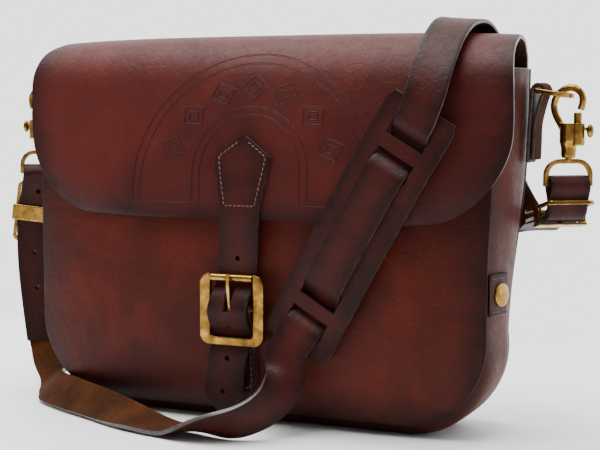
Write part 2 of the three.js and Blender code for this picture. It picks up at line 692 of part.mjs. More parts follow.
for (const end of [LEFT, RIGHT]) {
  const name = end.side < 0 ? 'left' : 'right';
  const side = end.side;
  const { x: ax, y: ay } = end.bar;

  // Swivel eye: a dee with its bar in the strap's loop, and a headed stem up into the hook.
  const stem = post(STEM_R, V(0, 0, 16), V(0, 0, STEM_TOP), 12);
  const head = post(STEM_R + 1.6, V(0, 0, STEM_TOP - 2), V(0, 0, STEM_TOP), 12);
  const eye = join(plate(dee(EYE_W, 18), 2 * WIRE_R), stem, head);
  const inward = V(0, 0, 1).cross(end.across).normalize();
  add(name + '_swivel_eye', placed(eye, end.across.clone(), inward, V(0, 0, 1), end.bar), BRASS, true);

  // Snap hook: the barrel over the stem's head, the arm, the bight and the nose.
  const base = BAR_Z + 18.6; // barrel's lower end
  const gateX = side * GATE_OFF;
  const barrel = new THREE.LatheGeometry(
    [
      [0, 0],
      [4.6, 0],
      [5.4, 2],
      [5.6, 8],
      [6.6, 12],
      [6.6, 25],
      [0, 25],
    ].map(([r, z]) => new THREE.Vector2(r, z)),
    20,
  ).rotateX(Math.PI / 2);
  const gateHousing = post(5.2, V(gateX, 0, 9), V(gateX, 0, 25), 20);
  const arm = rod(
    [
      V(side * -1, 0, 14),
      V(side * -6, 0, 24),
      V(side * -10.5, 0, 33),
      V(side * -10.6, 0, 41),
      V(side * -5, 0, 48.5),
      V(side * 2.5, 0, 50.5),
      V(side * 8.8, 0, 46.5),
      V(side * 10, 0, 40),
      V(side * 8.3, 0, 34.6),
    ],
    2.7,
    18,
    4,
  );
  const stemBore = post(STEM_R + 0.5, V(0, 0, -2), V(0, 0, 5), 16);
  const headRoom = post(STEM_R + 2.2, V(0, 0, 3.2), V(0, 0, 9), 16);
  const gateBore = post(3.5, V(gateX, 0, 11.5), V(gateX, 0, 32), 16);
  const knobSlot = block(
    Math.min(gateX, gateX + side * 9),
    Math.max(gateX, gateX + side * 9),
    -1.8,
    1.8,
    14,
    24,
  );
  const headPocket = block(
    Math.min(0, -side * 9),
    Math.max(0, -side * 9),
    -2,
    2,
    4,
    7,
  );
  const hook = cut(join(barrel, gateHousing, arm), stemBore, headRoom, gateBore, knobSlot, headPocket);
  add(name + '_snap_hook', hook.translate(ax, ay, base), BRASS, true);

  const pin = post(3, V(gateX, 0, 19.5), V(gateX, 0, 32.6), 16);
  const neck = post(1.3, V(gateX, 0, 21), V(gateX + side * 8, 0, 21), 8);
  const knob = new THREE.SphereGeometry(3.4, 12, 8).scale(0.75, 1, 1.5);
  knob.translate(gateX + side * 9.2, 0, 19.5);
  add(name + '_plunger', join(pin, neck, knob).translate(ax, ay, base), BRASS, true);

  const turns = 4;
  const coil = [];
  for (let i = 0; i <= turns * 6; i++) {
    const a = (i / 6) * 2 * Math.PI;
    coil.push(V(2.3 * Math.cos(a), 2.3 * Math.sin(a), 12.2 + (i / (turns * 6)) * 6.4));
  }
  const spring = rod(coil, 0.4, turns * 6, 2).translate(gateX, 0, 0);
  add(name + '_plunger_spring', spring.translate(ax, ay, base), '#9a9a98', true);

  // Dee ring: nearly level, its bar in the tab's loop and its round end in the hook.
  const hookX = ax + side * 1.5; // where the hook's bight sits on the wire
  const tilt = rad(RING_TILT);
  const reach = DEE_DEPTH - WIRE_R;
  const loopX = hookX - side * reach * Math.cos(tilt);
  const loopZ = RING_Z + reach * Math.sin(tilt);
  const far = V(side * Math.cos(tilt), 0, -Math.sin(tilt));
  const bar = V(0, side, 0);
  const ring = plate(dee(DEE_W, DEE_DEPTH), 2 * WIRE_R);
  const thick = far.clone().cross(bar);
  add(name + '_dee_ring', placed(ring, bar, thick, far, V(loopX, ay, loopZ)), BRASS, true);

  // Tab: a strap folded round the ring's bar, both layers sewn to the gusset.
  const tabW = 17;
  const sideX = (z) => HALF_W + flare(z) + GUSSET_BULGE;
  const inner0 = (z, gap) => side * (sideX(z) + STRAP_T / 2 + GAP + 0.7 + gap);
  const tabLine = [
    V(inner0(198, 0.2), 0, 198),
    V(inner0(210, 0.2), 0, 210),
    V(inner0(222, 0.4), 0, 222),
  ];
  const tabR = WIRE_R + STRAP_T / 2 + 1.2;
  for (const a of [190, 150, 110, 70, 30, -10, -50]) {
    const r = rad(a);
    tabLine.push(V(loopX + side * tabR * Math.cos(r), 0, loopZ + tabR * Math.sin(r)));
  }
  tabLine.push(V(inner0(226, STRAP_T + 1.4), 0, 226));
  tabLine.push(V(inner0(212, STRAP_T + 0.8), 0, 212));
  tabLine.push(V(inner0(200, STRAP_T + 0.8), 0, 200));
  const tabCurve = new THREE.CatmullRomCurve3(tabLine, false, 'centripetal');
  const tab = sheet(even(2 * (tabLine.length - 1)), [0, 1], STRAP_T, (u, v) => {
    const p = tabCurve.getPoint(u);
    return p.add(V(0, ay + side * (v - 0.5) * tabW, 0));
  });
  add(name + '_ring_tab', tab, DARK);

  // Patch low on the gusset's front half, with a domed cap outside and a washer inside.
  const patchZ = [91, 121];
  const rivetZ = 106;
  const patch = sheet(even(4), even(4), 2.4, (u, v) => {
    const s = (GUSSET_TOP_Z - lerp(patchZ[0], patchZ[1], v)) / RUN_L;
    const a = gussetAt(side < 0 ? s : 1 - s, lerp(0.04, 0.36, side < 0 ? 1 - u : u));
    return a.add(V(side * (HIDE / 2 + 1.2 + GAP), 0, 0));
  });
  add(name + '_gusset_patch', patch, DARK);

  const s = (GUSSET_TOP_Z - rivetZ) / RUN_L;
  const seat = gussetAt(side < 0 ? s : 1 - s, 0.17);
  const seatOff = side * (HIDE / 2 + 2.4 + 2 * GAP);
  const seatLean = rad(14);
  const cap = new THREE.LatheGeometry(
    [
      [0, 0],
      [8.5, 0],
      [8.5, 0.8],
      [6.5, 1.9],
      [3.4, 2.5],
      [0, 2.7],
    ].map(([r, z]) => new THREE.Vector2(r, z)),
    24,
  );
  cap.rotateZ(-side * (Math.PI / 2 + seatLean));
  cap.translate(seat.x + seatOff + side * 0.6, seat.y, rivetZ);
  add(name + '_patch_rivet', cap, BRASS, true);
}

export default group;
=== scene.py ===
import math

import bmesh
import bpy
from mathutils import Matrix, Vector, noise


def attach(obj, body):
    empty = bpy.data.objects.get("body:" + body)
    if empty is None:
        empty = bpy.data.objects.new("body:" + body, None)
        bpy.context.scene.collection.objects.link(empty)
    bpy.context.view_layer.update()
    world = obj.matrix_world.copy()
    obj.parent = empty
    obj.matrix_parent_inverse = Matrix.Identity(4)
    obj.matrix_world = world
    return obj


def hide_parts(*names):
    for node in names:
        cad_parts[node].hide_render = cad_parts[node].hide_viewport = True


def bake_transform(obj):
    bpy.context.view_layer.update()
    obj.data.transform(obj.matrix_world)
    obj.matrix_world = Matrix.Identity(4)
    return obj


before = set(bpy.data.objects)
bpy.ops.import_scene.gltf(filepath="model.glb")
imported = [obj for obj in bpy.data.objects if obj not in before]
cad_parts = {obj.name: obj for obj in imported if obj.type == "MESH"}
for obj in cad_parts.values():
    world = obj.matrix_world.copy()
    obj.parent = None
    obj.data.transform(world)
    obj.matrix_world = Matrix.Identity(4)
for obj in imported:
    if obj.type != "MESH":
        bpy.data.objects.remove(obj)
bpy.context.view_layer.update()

# ---- Camera ----
# It looks at the satchel from the front right, a little above the table.
# The lens is a short telephoto, so the bag's edges converge only slightly.
camera_data = bpy.data.cameras.new("viewpoint")
camera_data.sensor_width = 36.0
camera_data.lens = 87.8
camera_data.clip_start = 0.05
camera = bpy.data.objects.new("viewpoint", camera_data)
bpy.context.scene.collection.objects.link(camera)
camera.location = (0.5153, -1.0139, 0.2418)
looking_at = Vector((0.0208, 0.0, 0.1469))
camera.rotation_euler = (looking_at - camera.location).to_track_quat("-Z", "Y").to_euler()
bpy.context.scene.camera = camera


# ---- Gusset ----
# One long strip of bridle hide, 3 mm thick, that runs down one side, under the bag and up
# the other. It is sewn inside out to both panels and turned, so its middle bulges outwards.
# Sizes here and below are in millimetres, and each mesh is brought to metres when it is done.
HIDE = 3.0
HALF_W = 187.0
TOP_FLARE = 5.0
FLARE_FROM_Z, FLARE_TO_Z = 100, 270
CORNER_R = 62.0
SEAM_Z = 10.0
FRONT_Y = -45.0
BACK_Y = 35.0
MOUTH_Y = -38.0
LEAN_FROM_Z = 120
FRONT_TOP_Z = 262.0
GUSSET_TOP_Z = 266.0
GUSSET_BULGE = 6.5
BACK_TAPER = 10.0
TAPER_FROM_Z, TAPER_TO_Z = 60, 200
GUSSET_FRONT = FRONT_Y + 1.6
GUSSET_BACK = BACK_Y - 0.4
GUSSET_W = 78
REST_SHARE = 0.67
SIDE_RUN = GUSSET_TOP_Z - SEAM_Z - CORNER_R
ARC_RUN = math.pi / 2 * CORNER_R
BASE_RUN = 2 * (HALF_W - CORNER_R)
WHOLE_RUN = 2 * SIDE_RUN + 2 * ARC_RUN + BASE_RUN


def smooth(x, low, high):
    t = min(1.0, max(0.0, (x - low) / (high - low)))
    return t * t * (3 - 2 * t)


def lerp(a, b, t):
    return a + (b - a) * t


def even(count):
    return [i / count for i in range(count + 1)]


def flare(z):
    return TOP_FLARE * smooth(z, FLARE_FROM_Z, FLARE_TO_Z)


def lean(z):
    """How far back the front seam leans at a height, towards the mouth."""
    return smooth(z, LEAN_FROM_Z, FRONT_TOP_Z) * (MOUTH_Y - FRONT_Y)


def corner_share(z):
    below = max(0.0, SEAM_Z + CORNER_R - z) / CORNER_R
    return math.sqrt(max(0.0, 1 - below**2))


def half_width(z):
    return HALF_W + flare(z) - CORNER_R * (1 - corner_share(z))


def taper(z):
    return BACK_TAPER * (1 - smooth(z, TAPER_FROM_Z, TAPER_TO_Z))


def seam_at(run):
    """The seam's x and z at a length along the strip, and the way out of the bag there."""
    run = min(max(run, 0.0), WHOLE_RUN)
    mirrored = run > WHOLE_RUN / 2
    t = WHOLE_RUN - run if mirrored else run
    if t <= SIDE_RUN:
        z = GUSSET_TOP_Z - t
        x, out_x, out_z = -HALF_W - flare(z), -1.0, 0.0
    elif t <= SIDE_RUN + ARC_RUN:
        a = (t - SIDE_RUN) / CORNER_R
        x = -HALF_W + CORNER_R - CORNER_R * math.cos(a)
        z = SEAM_Z + CORNER_R - CORNER_R * math.sin(a)
        out_x, out_z = -math.cos(a), -math.sin(a)
    else:
        x, z, out_x, out_z = -HALF_W + CORNER_R + t - SIDE_RUN - ARC_RUN, SEAM_Z, 0.0, -1.0
    return (-x, z, -out_x, out_z) if mirrored else (x, z, out_x, out_z)


def gusset_at(u, v):
    """u runs along the strip, v from the front seam to the back one."""
    x, z, out_x, out_z = seam_at(u * WHOLE_RUN)
    y = lerp(GUSSET_FRONT + lean(z), GUSSET_BACK, v)
    off = abs(2 * v - 1)
    rise = 1.0 if off <= REST_SHARE else 1 - ((off - REST_SHARE) / (1 - REST_SHARE)) ** 2
    out = -HIDE / 2 + SEAM_Z * rise * max(0.0, -out_z)
    side = GUSSET_BULGE * (1 - off**2) * abs(out_x) - taper(z) * v
    return Vector((x + out_x * (out + side), y, z + out_z * out))


def settle(piece):
    """Applies the piece's modifiers to its mesh."""
    bpy.context.view_layer.update()
    view = bpy.context.evaluated_depsgraph_get()
    shape = bpy.data.meshes.new_from_object(piece.evaluated_get(view))
    piece.modifiers.clear()
    piece.data = shape


def new_piece(name, form, materials=()):
    shape = bpy.data.meshes.new(name)
    form.to_mesh(shape)
    form.free()
    for material in materials:
        shape.materials.append(material)
    piece = bpy.data.objects.new(name, shape)
    bpy.context.scene.collection.objects.link(piece)
    return piece


MM = 0.001
SHARP = math.radians(50)


def fit(piece, body, replaced=()):
    """Brings a finished piece to metres and puts it on its body when that is a name; otherwise it
    only bakes the piece's place into its mesh.
    """
    piece.data.transform(Matrix.Scale(MM, 4))
    for face in piece.data.polygons:
        face.use_smooth = True
    piece.data.set_sharp_from_angle(angle=SHARP)
    if isinstance(body, str):
        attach(piece, body)
    else:
        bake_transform(piece)
    if replaced:
        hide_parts(*replaced)


BURNISH_REACH = 9.0
EDGE_ANGLE = math.radians(52)


def cut_leather(name, us, vs, place, thick, sides, size, punches=None, edge=0.8):
    """A cut piece of leather. place(u, v) gives a point on its middle surface and how far
    that is from the nearest cut edge; u x v points out of the grain side. sides are its
    grain, its flesh and its cut edge, and size is how far u and v run."""
    form = bmesh.new()
    along_piece = form.loops.layers.uv.new("cut")
    burnish_and_shade = form.verts.layers.float.new("burnish_and_shade")
    columns, rows = len(us) - 1, len(vs) - 1
    bmesh.ops.create_grid(form, x_segments=columns, y_segments=rows, size=0.5)
    spot = {}
    for corner in form.verts:
        u = us[round((corner.co.x + 0.5) * columns)]
        v = vs[round((corner.co.y + 0.5) * rows)]
        spot[corner] = (u * size[0] / 1000, v * size[1] / 1000)
        corner.co, from_edge = place(u, v)
        corner[burnish_and_shade] = math.exp(-((max(0.0, from_edge) / BURNISH_REACH) ** 1.3))
    for face in form.faces:
        for loop in face.loops:
            loop[along_piece].uv = spot[loop.vert]
    piece = new_piece(name, form, sides)
    wall = piece.modifiers.new("thickness", "SOLIDIFY")
    wall.thickness = thick
    wall.offset = 0.0
    wall.material_offset = 1
    wall.material_offset_rim = 2
    settle(piece)
    if punches is not None:
        for face in punches.faces:
            face.material_index = 2
        tool = new_piece(name + "_punch", punches, sides)
        hole = piece.modifiers.new("holes", "BOOLEAN")
        hole.operation = "DIFFERENCE"
        hole.solver = "EXACT"
        hole.object = tool
        settle(piece)
        bpy.data.objects.remove(tool)
    if edge:
        round_over = piece.modifiers.new("rounded edges", "BEVEL")
        round_over.width = edge
        round_over.segments = 2
        round_over.limit_method = "ANGLE"
        round_over.angle_limit = EDGE_ANGLE
        settle(piece)
    return piece


def linear(text):
    """An sRGB hex value as linear red, green, blue and alpha."""
    parts = [int(text[i : i + 2], 16) / 255 for i in (1, 3, 5)]
    return [*(c / 12.92 if c <= 0.04045 else ((c + 0.055) / 1.055) ** 2.4 for c in parts), 1.0]


def add_node(material, kind, inputs=None, stops=None, **settings):
    """Adds a node to the material, with its settings, its values and links, and a ramp's stops."""
    node = material.node_tree.nodes.new(kind)
    for key, value in settings.items():
        setattr(node, key, value)
    for socket, value in (inputs or {}).items():
        if isinstance(value, bpy.types.NodeSocket):
            material.node_tree.links.new(value, node.inputs[socket])
        else:
            node.inputs[socket].default_value = value
    if stops:
        ramp = node.color_ramp
        for place, text in stops[2:]:
            ramp.elements.new(place)
        for element, (place, text) in zip(ramp.elements, sorted(stops)):
            element.position = place
            element.color = linear(text)
    return node


def empty_material(name):
    material = bpy.data.materials.new(name)
    material.use_nodes = True
    material.node_tree.nodes.clear()
    return material


def tanned_grain(name, deep, middle, bright, burnt_and_shade, cloud, pebble, wax, on_strip=False):
    """Vegetable tanned leather, grain side: dyed by hand, so it is clouded, and waxed, so its
    pebbled surface shines softly. Its darkest tone gathers along cut edges and seams; on the seam
    welts it is painted shade.
    cloud and pebble are the sizes of the dye's clouds and of the grain's cells, in mm, and
    wax is the smoothest of its surface. The cells are drawn coarser than real ones, to show."""
    hide = empty_material(name)
    where = add_node(hide, "ShaderNodeTexCoord").outputs["UV" if on_strip else "Object"]
    clouds = add_node(
        hide,
        "ShaderNodeTexNoise",
        {
            "Vector": where,
            "Scale": 1000 / cloud,
            "Detail": 5.0,
            "Roughness": 0.6,
            "Distortion": 0.5,
        },
    )
    dye = add_node(
        hide,
        "ShaderNodeValToRGB",
        {"Fac": clouds.outputs["Fac"]},
        stops=[(0.33, deep), (0.72, bright), (0.5, middle)],
    )
    ragged = add_node(
        hide, "ShaderNodeTexNoise", {"Vector": where, "Scale": 1000 / 14, "Detail": 4.0}
    )
    # This value darkens the grain towards its darkest tone. Along cut edges and crease lines it is
    # the leather's own darkening, and on the seam welts it is painted shade.
    burnish_and_shade = add_node(hide, "ShaderNodeAttribute", attribute_name="burnish_and_shade")
    spread = add_node(
        hide,
        "ShaderNodeMath",
        {0: ragged.outputs["Fac"], 1: 1.1, 2: 0.25},
        operation="MULTIPLY_ADD",
    )
    amount = add_node(
        hide,
        "ShaderNodeMath",
        {0: burnish_and_shade.outputs["Fac"], 1: spread.outputs[0]},
        operation="MULTIPLY",
        use_clamp=True,
    )
    toned = add_node(
        hide,
        "ShaderNodeMix",
        {0: amount.outputs[0], 6: dye.outputs["Color"], 7: linear(burnt_and_shade)},
        data_type="RGBA",
    )
    cells = add_node(
        hide,
        "ShaderNodeTexVoronoi",
        {"Vector": where, "Scale": 1000 / pebble, "Randomness": 1.0},
        feature="DISTANCE_TO_EDGE",
    )
    folds = add_node(
        hide,
        "ShaderNodeTexNoise",
        {"Vector": where, "Scale": 1000 / (pebble * 4), "Detail": 5.0, "Distortion": 1.6},
    )
    pebbled = add_node(
        hide,
        "ShaderNodeBump",
        {"Height": cells.outputs["Distance"], "Strength": 0.28, "Distance": pebble / 5000},
    )
    wrinkled = add_node(
        hide,
        "ShaderNodeBump",
        {
            "Height": folds.outputs["Fac"],
            "Strength": 0.5,
            "Distance": 0.0008,
            "Normal": pebbled.outputs["Normal"],
        },
    )
    rough = add_node(
        hide,
        "ShaderNodeMapRange",
        {
            "Value": folds.outputs["Fac"],
            "From Min": 0.3,
            "From Max": 0.7,
            "To Min": wax,
            "To Max": wax + 0.14,
        },
    )
    surface = add_node(
        hide,
        "ShaderNodeBsdfPrincipled",
        {
            "Base Color": toned.outputs[2],
            "Roughness": rough.outputs["Result"],
            "IOR": 1.45,
            "Specular IOR Level": 0.16,
            "Normal": wrinkled.outputs["Normal"],
        },
    )
    add_node(hide, "ShaderNodeOutputMaterial", {"Surface": surface.outputs["BSDF"]})
    return hide


def flesh_side(name, pale, dark):
    """The hide's underside: sueded fibres, dry and matt, paler than the grain."""
    suede = empty_material(name)
    where = add_node(suede, "ShaderNodeTexCoord").outputs["Object"]
    nap = add_node(
        suede,
        "ShaderNodeTexNoise",
        {"Vector": where, "Scale": 1000 / 2.2, "Detail": 6.0, "Roughness": 0.75},
    )
    patches = add_node(
        suede, "ShaderNodeTexNoise", {"Vector": where, "Scale": 1000 / 30, "Detail": 3.0}
    )
    mixed = add_node(
        suede,
        "ShaderNodeMath",
        {0: nap.outputs["Fac"], 1: patches.outputs["Fac"]},
        operation="MULTIPLY",
    )
    colour = add_node(
        suede,
        "ShaderNodeValToRGB",
        {"Fac": mixed.outputs[0]},
        stops=[(0.12, dark), (0.38, pale)],
    )
    fibres = add_node(
        suede,
        "ShaderNodeBump",
        {"Height": nap.outputs["Fac"], "Strength": 0.6, "Distance": 0.0004},
    )
    surface = add_node(
        suede,
        "ShaderNodeBsdfPrincipled",
        {
            "Base Color": colour.outputs["Color"],
            "Roughness": 0.92,
            "Specular IOR Level": 0.1,
            "Normal": fibres.outputs["Normal"],
        },
    )
    add_node(suede, "ShaderNodeOutputMaterial", {"Surface": surface.outputs["BSDF"]})
    return suede


def burnished_rim(name, dark, light):
    """A cut edge, dyed and rubbed with wax until its fibres lie in fine layers and shine."""
    rim = empty_material(name)
    where = add_node(rim, "ShaderNodeTexCoord").outputs["Object"]
    layers = add_node(
        rim,
        "ShaderNodeTexNoise",
        {"Vector": where, "Scale": 1000 / 3, "Detail": 5.0, "Roughness": 0.7},
    )
    colour = add_node(
        rim,
        "ShaderNodeValToRGB",
        {"Fac": layers.outputs["Fac"]},
        stops=[(0.35, dark), (0.75, light)],
    )
    ridges = add_node(
        rim,
        "ShaderNodeBump",
        {"Height": layers.outputs["Fac"], "Strength": 0.3, "Distance": 0.0003},
    )
    surface = add_node(
        rim,
        "ShaderNodeBsdfPrincipled",
        {
            "Base Color": colour.outputs["Color"],
            "Roughness": 0.42,
            "Coat Weight": 0.2,
            "Coat Roughness": 0.35,
            "Normal": ridges.outputs["Normal"],
        },
    )
    add_node(rim, "ShaderNodeOutputMaterial", {"Surface": surface.outputs["BSDF"]})
    return rim


body_grain = tanned_grain(
    "waxed bridle hide, red brown", "#370e08", "#45140a", "#561b0f", "#170605", 70, 2.2, 0.42
)
gusset_grain = tanned_grain(
    "waxed bridle hide, dark", "#320e09", "#41140c", "#511d13", "#140605", 55, 2.2, 0.46
)
body_flesh = flesh_side("bridle hide, flesh side", "#5d3826", "#331b12")
dark_rim = burnished_rim("burnished body edge", "#160b0b", "#3a2220")
body_sides = [body_grain, body_flesh, dark_rim]
gusset_sides = [gusset_grain, body_flesh, dark_rim]

SIDE_STEPS, ARC_STEPS, BASE_STEPS = 56, 30, 60
gusset_runs = [SIDE_RUN * t for t in even(SIDE_STEPS)]
gusset_runs += [SIDE_RUN + ARC_RUN * t for t in even(ARC_STEPS)[1:]]
gusset_runs += [SIDE_RUN + ARC_RUN + BASE_RUN * t for t in even(BASE_STEPS)[1:]]
gusset_runs += [WHOLE_RUN - r for r in reversed(gusset_runs[: SIDE_STEPS + ARC_STEPS])]
RIPPLE = 0.9


def gusset_place(u, v):
    point = gusset_at(u, 1 - v)
    out_x = seam_at(u * WHOLE_RUN)[2]
    ripple = noise.noise(Vector((point.x / 26, point.y / 17, point.z / 40)))
    inside = 1 - (2 * v - 1) ** 2
    point += Vector((out_x, 0, 0)) * ripple * RIPPLE * inside
    return point, min(v, 1 - v) * (GUSSET_BACK - GUSSET_FRONT)


gusset = cut_leather(
    "gusset_strip",
    [r / WHOLE_RUN for r in gusset_runs],
    even(26),
    gusset_place,
    HIDE,
    gusset_sides,
    (WHOLE_RUN, GUSSET_W),
)
fit(gusset, "bag", ["gusset"])


# ---- Front panel ----
# One panel of the same hide, wet moulded so that it bellies out. Its edge is turned in at
# the seam, where the wax and the dye have gone nearly black.
FRONT_BULGE = 17.0
CRUMPLE, SWELL = 0.35, 0.7
panel_rows = [t**1.35 for t in even(90)]
# Its columns of faces get narrower towards both sides, where the panel turns in.
turned = [0.5 - 0.5 * math.cos(math.pi * (0.06 + 0.88 * t)) for t in even(96)]
panel_columns = [(c - turned[0]) / (turned[-1] - turned[0]) for c in turned]


def front_y(x, z):
    side = min(1.0, abs(x) / half_width(z))
    up = min(1.0, max(0.0, (z - SEAM_Z) / (FRONT_TOP_Z - SEAM_Z)))
    belly = (1 - side**4) * math.sin(math.pi * up**0.62) ** 0.7
    return FRONT_Y + lean(z) - FRONT_BULGE * belly


def front_place(u, v):
    z = lerp(SEAM_Z, FRONT_TOP_Z, v)
    reach = half_width(z) - 0.5
    x = (2 * u - 1) * reach
    from_edge = min(reach - abs(x), (z - SEAM_Z) * 0.9)
    # Fine diagonal wrinkles where the panel's lower corners were drawn round the mould.
    low = smooth(140 - z, 0, 90) * smooth(abs(x), 20, 110) * smooth(from_edge, 5, 35)
    crumple = noise.noise(Vector((x / 9 + z / 14, z / 26 - x / 40, 3.0)))
    swell = noise.noise(Vector((x / 60, z / 48, 8.0)))
    inside = smooth(from_edge, 2, 30)
    y = front_y(x, z) - CRUMPLE * crumple * low - SWELL * swell * inside
    return Vector((x, y, z)), from_edge * 0.55


front = cut_leather(
    "front_panel_moulded",
    panel_columns,
    panel_rows,
    front_place,
    HIDE,
    body_sides,
    (2 * HALF_W, FRONT_TOP_Z - SEAM_Z),
)
fit(front, "bag", ["front_panel"])

# The turned seam shows as one thin round ridge along the whole outline, front and back.
# Its grain is darkened evenly as painted shade along the seam.
WELT_R = 1.55
WELT_STEPS = 240
WELT_PAINTED_SHADE = 0.75


def wire(points, radius):
    """A round cord along a list of points, as a mesh."""
    path = bpy.data.curves.new("wire", "CURVE")
    path.dimensions = "3D"
    path.bevel_depth = radius
    path.bevel_resolution = 4
    path.use_fill_caps = True
    spline = path.splines.new("POLY")
    spline.points.add(len(points) - 1)
    for knot, point in zip(spline.points, points):
        knot.co = (*point, 1.0)
    holder = bpy.data.objects.new("wire", path)
    bpy.context.scene.collection.objects.link(holder)
    bpy.context.view_layer.update()
    view = bpy.context.evaluated_depsgraph_get()
    shape = bpy.data.meshes.new_from_object(holder.evaluated_get(view))
    bpy.data.objects.remove(holder)
    return shape


def welt(name, y, top):
    """The turned edge of a seam: a ridge that follows the panels' outline, with painted shade
    darkening all of it.
    """
    form = bmesh.new()
    points = []
    for i in range(WELT_STEPS + 1):
        x, z, out_x, out_z = seam_at(WHOLE_RUN * i / WELT_STEPS)
        if z <= top:
            back = lean(z) if y < 0 else 0.0
            inset = 0.5 + (taper(z) if y > 0 else 0.0)
            points.append(Vector((x - out_x * inset, y + back, z - out_z * 0.5)))
    form.from_mesh(wire(points, WELT_R))
    # Painted shade: the whole welt is darkened by the same amount.
    painted_shade = form.verts.layers.float.new("burnish_and_shade")
    for corner in form.verts:
        corner[painted_shade] = WELT_PAINTED_SHADE
    return new_piece(name, form, [gusset_grain])


fit(welt("front_welt", FRONT_Y + 0.9, FRONT_TOP_Z), "bag")
fit(welt("back_welt", BACK_Y + 0.4, GUSSET_TOP_Z), "bag")


# ---- Back and flap ----
# One piece of hide makes the back and carries on over the top as the flap, with no pin
# at the top of the back; here it is built as one fixed mesh. The flap's cut edge is burnished.
HINGE_Z = 275.0
HINGE_Y = BACK_Y + HIDE / 2 + 0.5
CREST_Z = 292.0
FLAP_END_Z = 156.0
FLAP_HALF_W = 200.0
FLAP_CORNER_R = 62.0
FLAP_SHIFT = 9.0
FLAP_WAIST, FLAP_DRAW = 10, 6
EDGE_DROP, EDGE_BACK = 4, 9


class Line:
    """A smooth line through points, parted so that close points don't make it overshoot."""

    def __init__(self, points):
        self.knots = [Vector(p) for p in points]
        self.spans = len(self.knots) - 1
        self.table = [0.0]
        self.steps = self.spans * 24
        last = self.at(0)
        for i in range(1, self.steps + 1):
            here = self.at(i / self.steps)
            self.table.append(self.table[-1] + (here - last).length)
            last = here
        self.length = self.table[-1]

    def at(self, share):
        """The point at a share of the knots."""
        share = min(max(share, 0.0), 1.0) * self.spans
        k = min(int(share), self.spans - 1)
        t = share - k
        b, c = self.knots[k], self.knots[k + 1]
        a = self.knots[k - 1] if k else b * 2 - c
        d = self.knots[k + 2] if k + 2 <= self.spans else c * 2 - b
        dt0, dt1, dt2 = (max((q - p).length, 1e-4) ** 0.5 for p, q in ((a, b), (b, c), (c, d)))
        m1 = ((b - a) / dt0 - (c - a) / (dt0 + dt1) + (c - b) / dt1) * dt1
        m2 = ((c - b) / dt1 - (d - b) / (dt1 + dt2) + (d - c) / dt2) * dt1
        return (
            b + m1 * t + (-3 * b + 3 * c - 2 * m1 - m2) * t * t + (2 * b - 2 * c + m1 + m2) * t**3
        )

    def share(self, length):
        """The share of the knots at a length along the line."""
        length = min(max(length, 0.0), self.length)
        low, high = 0, self.steps
        while high - low > 1:
            mid = (low + high) // 2
            if self.table[mid] <= length:
                low = mid
            else:
                high = mid
        span = self.table[high] - self.table[low]
        return (low + (length - self.table[low]) / max(span, 1e-9)) / self.steps

    def along(self, part):
        """The point at a part of the line's length."""
        return self.at(self.share(part * self.length))


flap_line = Line(
    [
        (0, HINGE_Y, HINGE_Z),
        (0, HINGE_Y - 8, HINGE_Z + 10),
        (0, 10, CREST_Z - 2),
        (0, -12, CREST_Z - 1.5),
        (0, -33, CREST_Z - 9),
        (0, -48, CREST_Z - 26),
        (0, -57, CREST_Z - 55),
        (0, -62.5, CREST_Z - 85),
        (0, -65.5, CREST_Z - 112),
        (0, -66.5, FLAP_END_Z),
    ]
)
FLAP_L = flap_line.length
FLAP_CORNER = FLAP_CORNER_R / FLAP_L


def flap_half_width(u):
    waist = FLAP_WAIST * (1 - smooth(u, 0.1, 0.55))
    base = FLAP_HALF_W - waist - FLAP_DRAW * smooth(u, 0.62, 1)
    turn = min(1.0, max(0.0, (u - 1 + FLAP_CORNER) / FLAP_CORNER))
    return base - FLAP_CORNER_R * (1 - math.sqrt(max(0.0, 1 - turn**2)))


def flap_shift(u):
    return FLAP_SHIFT * (0.7 * smooth(u, 0, 0.3) + 0.3 * smooth(u, 0.4, 0.8))


def flap_at(u, v):
    p = flap_line.along(u)
    side = 2 * v - 1
    drop = -EDGE_DROP * side**4 * smooth(u, 0.05, 0.3) * (1 - smooth(u, 0.3, 0.6))
    back = EDGE_BACK * side**4 * smooth(u, 0.35, 0.75)
    return Vector((side * flap_half_width(u) + flap_shift(u), p.y + back, p.z + drop))


BACK_L = HINGE_Z - SEAM_Z
BACK_SHARE = BACK_L / (BACK_L + FLAP_L)
back_stops = [CORNER_R * (1 - math.cos(math.pi / 2 * t)) for t in even(16)]
back_stops += [lerp(CORNER_R, BACK_L, t) for t in even(60)[1:]]
flap_stops = [(FLAP_L - FLAP_CORNER_R) * t for t in even(84)[1:]]
flap_stops += [FLAP_L - FLAP_CORNER_R * (1 - math.sin(math.pi / 2 * t)) for t in even(28)[1:]]
hide_stops = [s / (BACK_L + FLAP_L) for s in back_stops]
hide_stops += [(BACK_L + s) / (BACK_L + FLAP_L) for s in flap_stops]


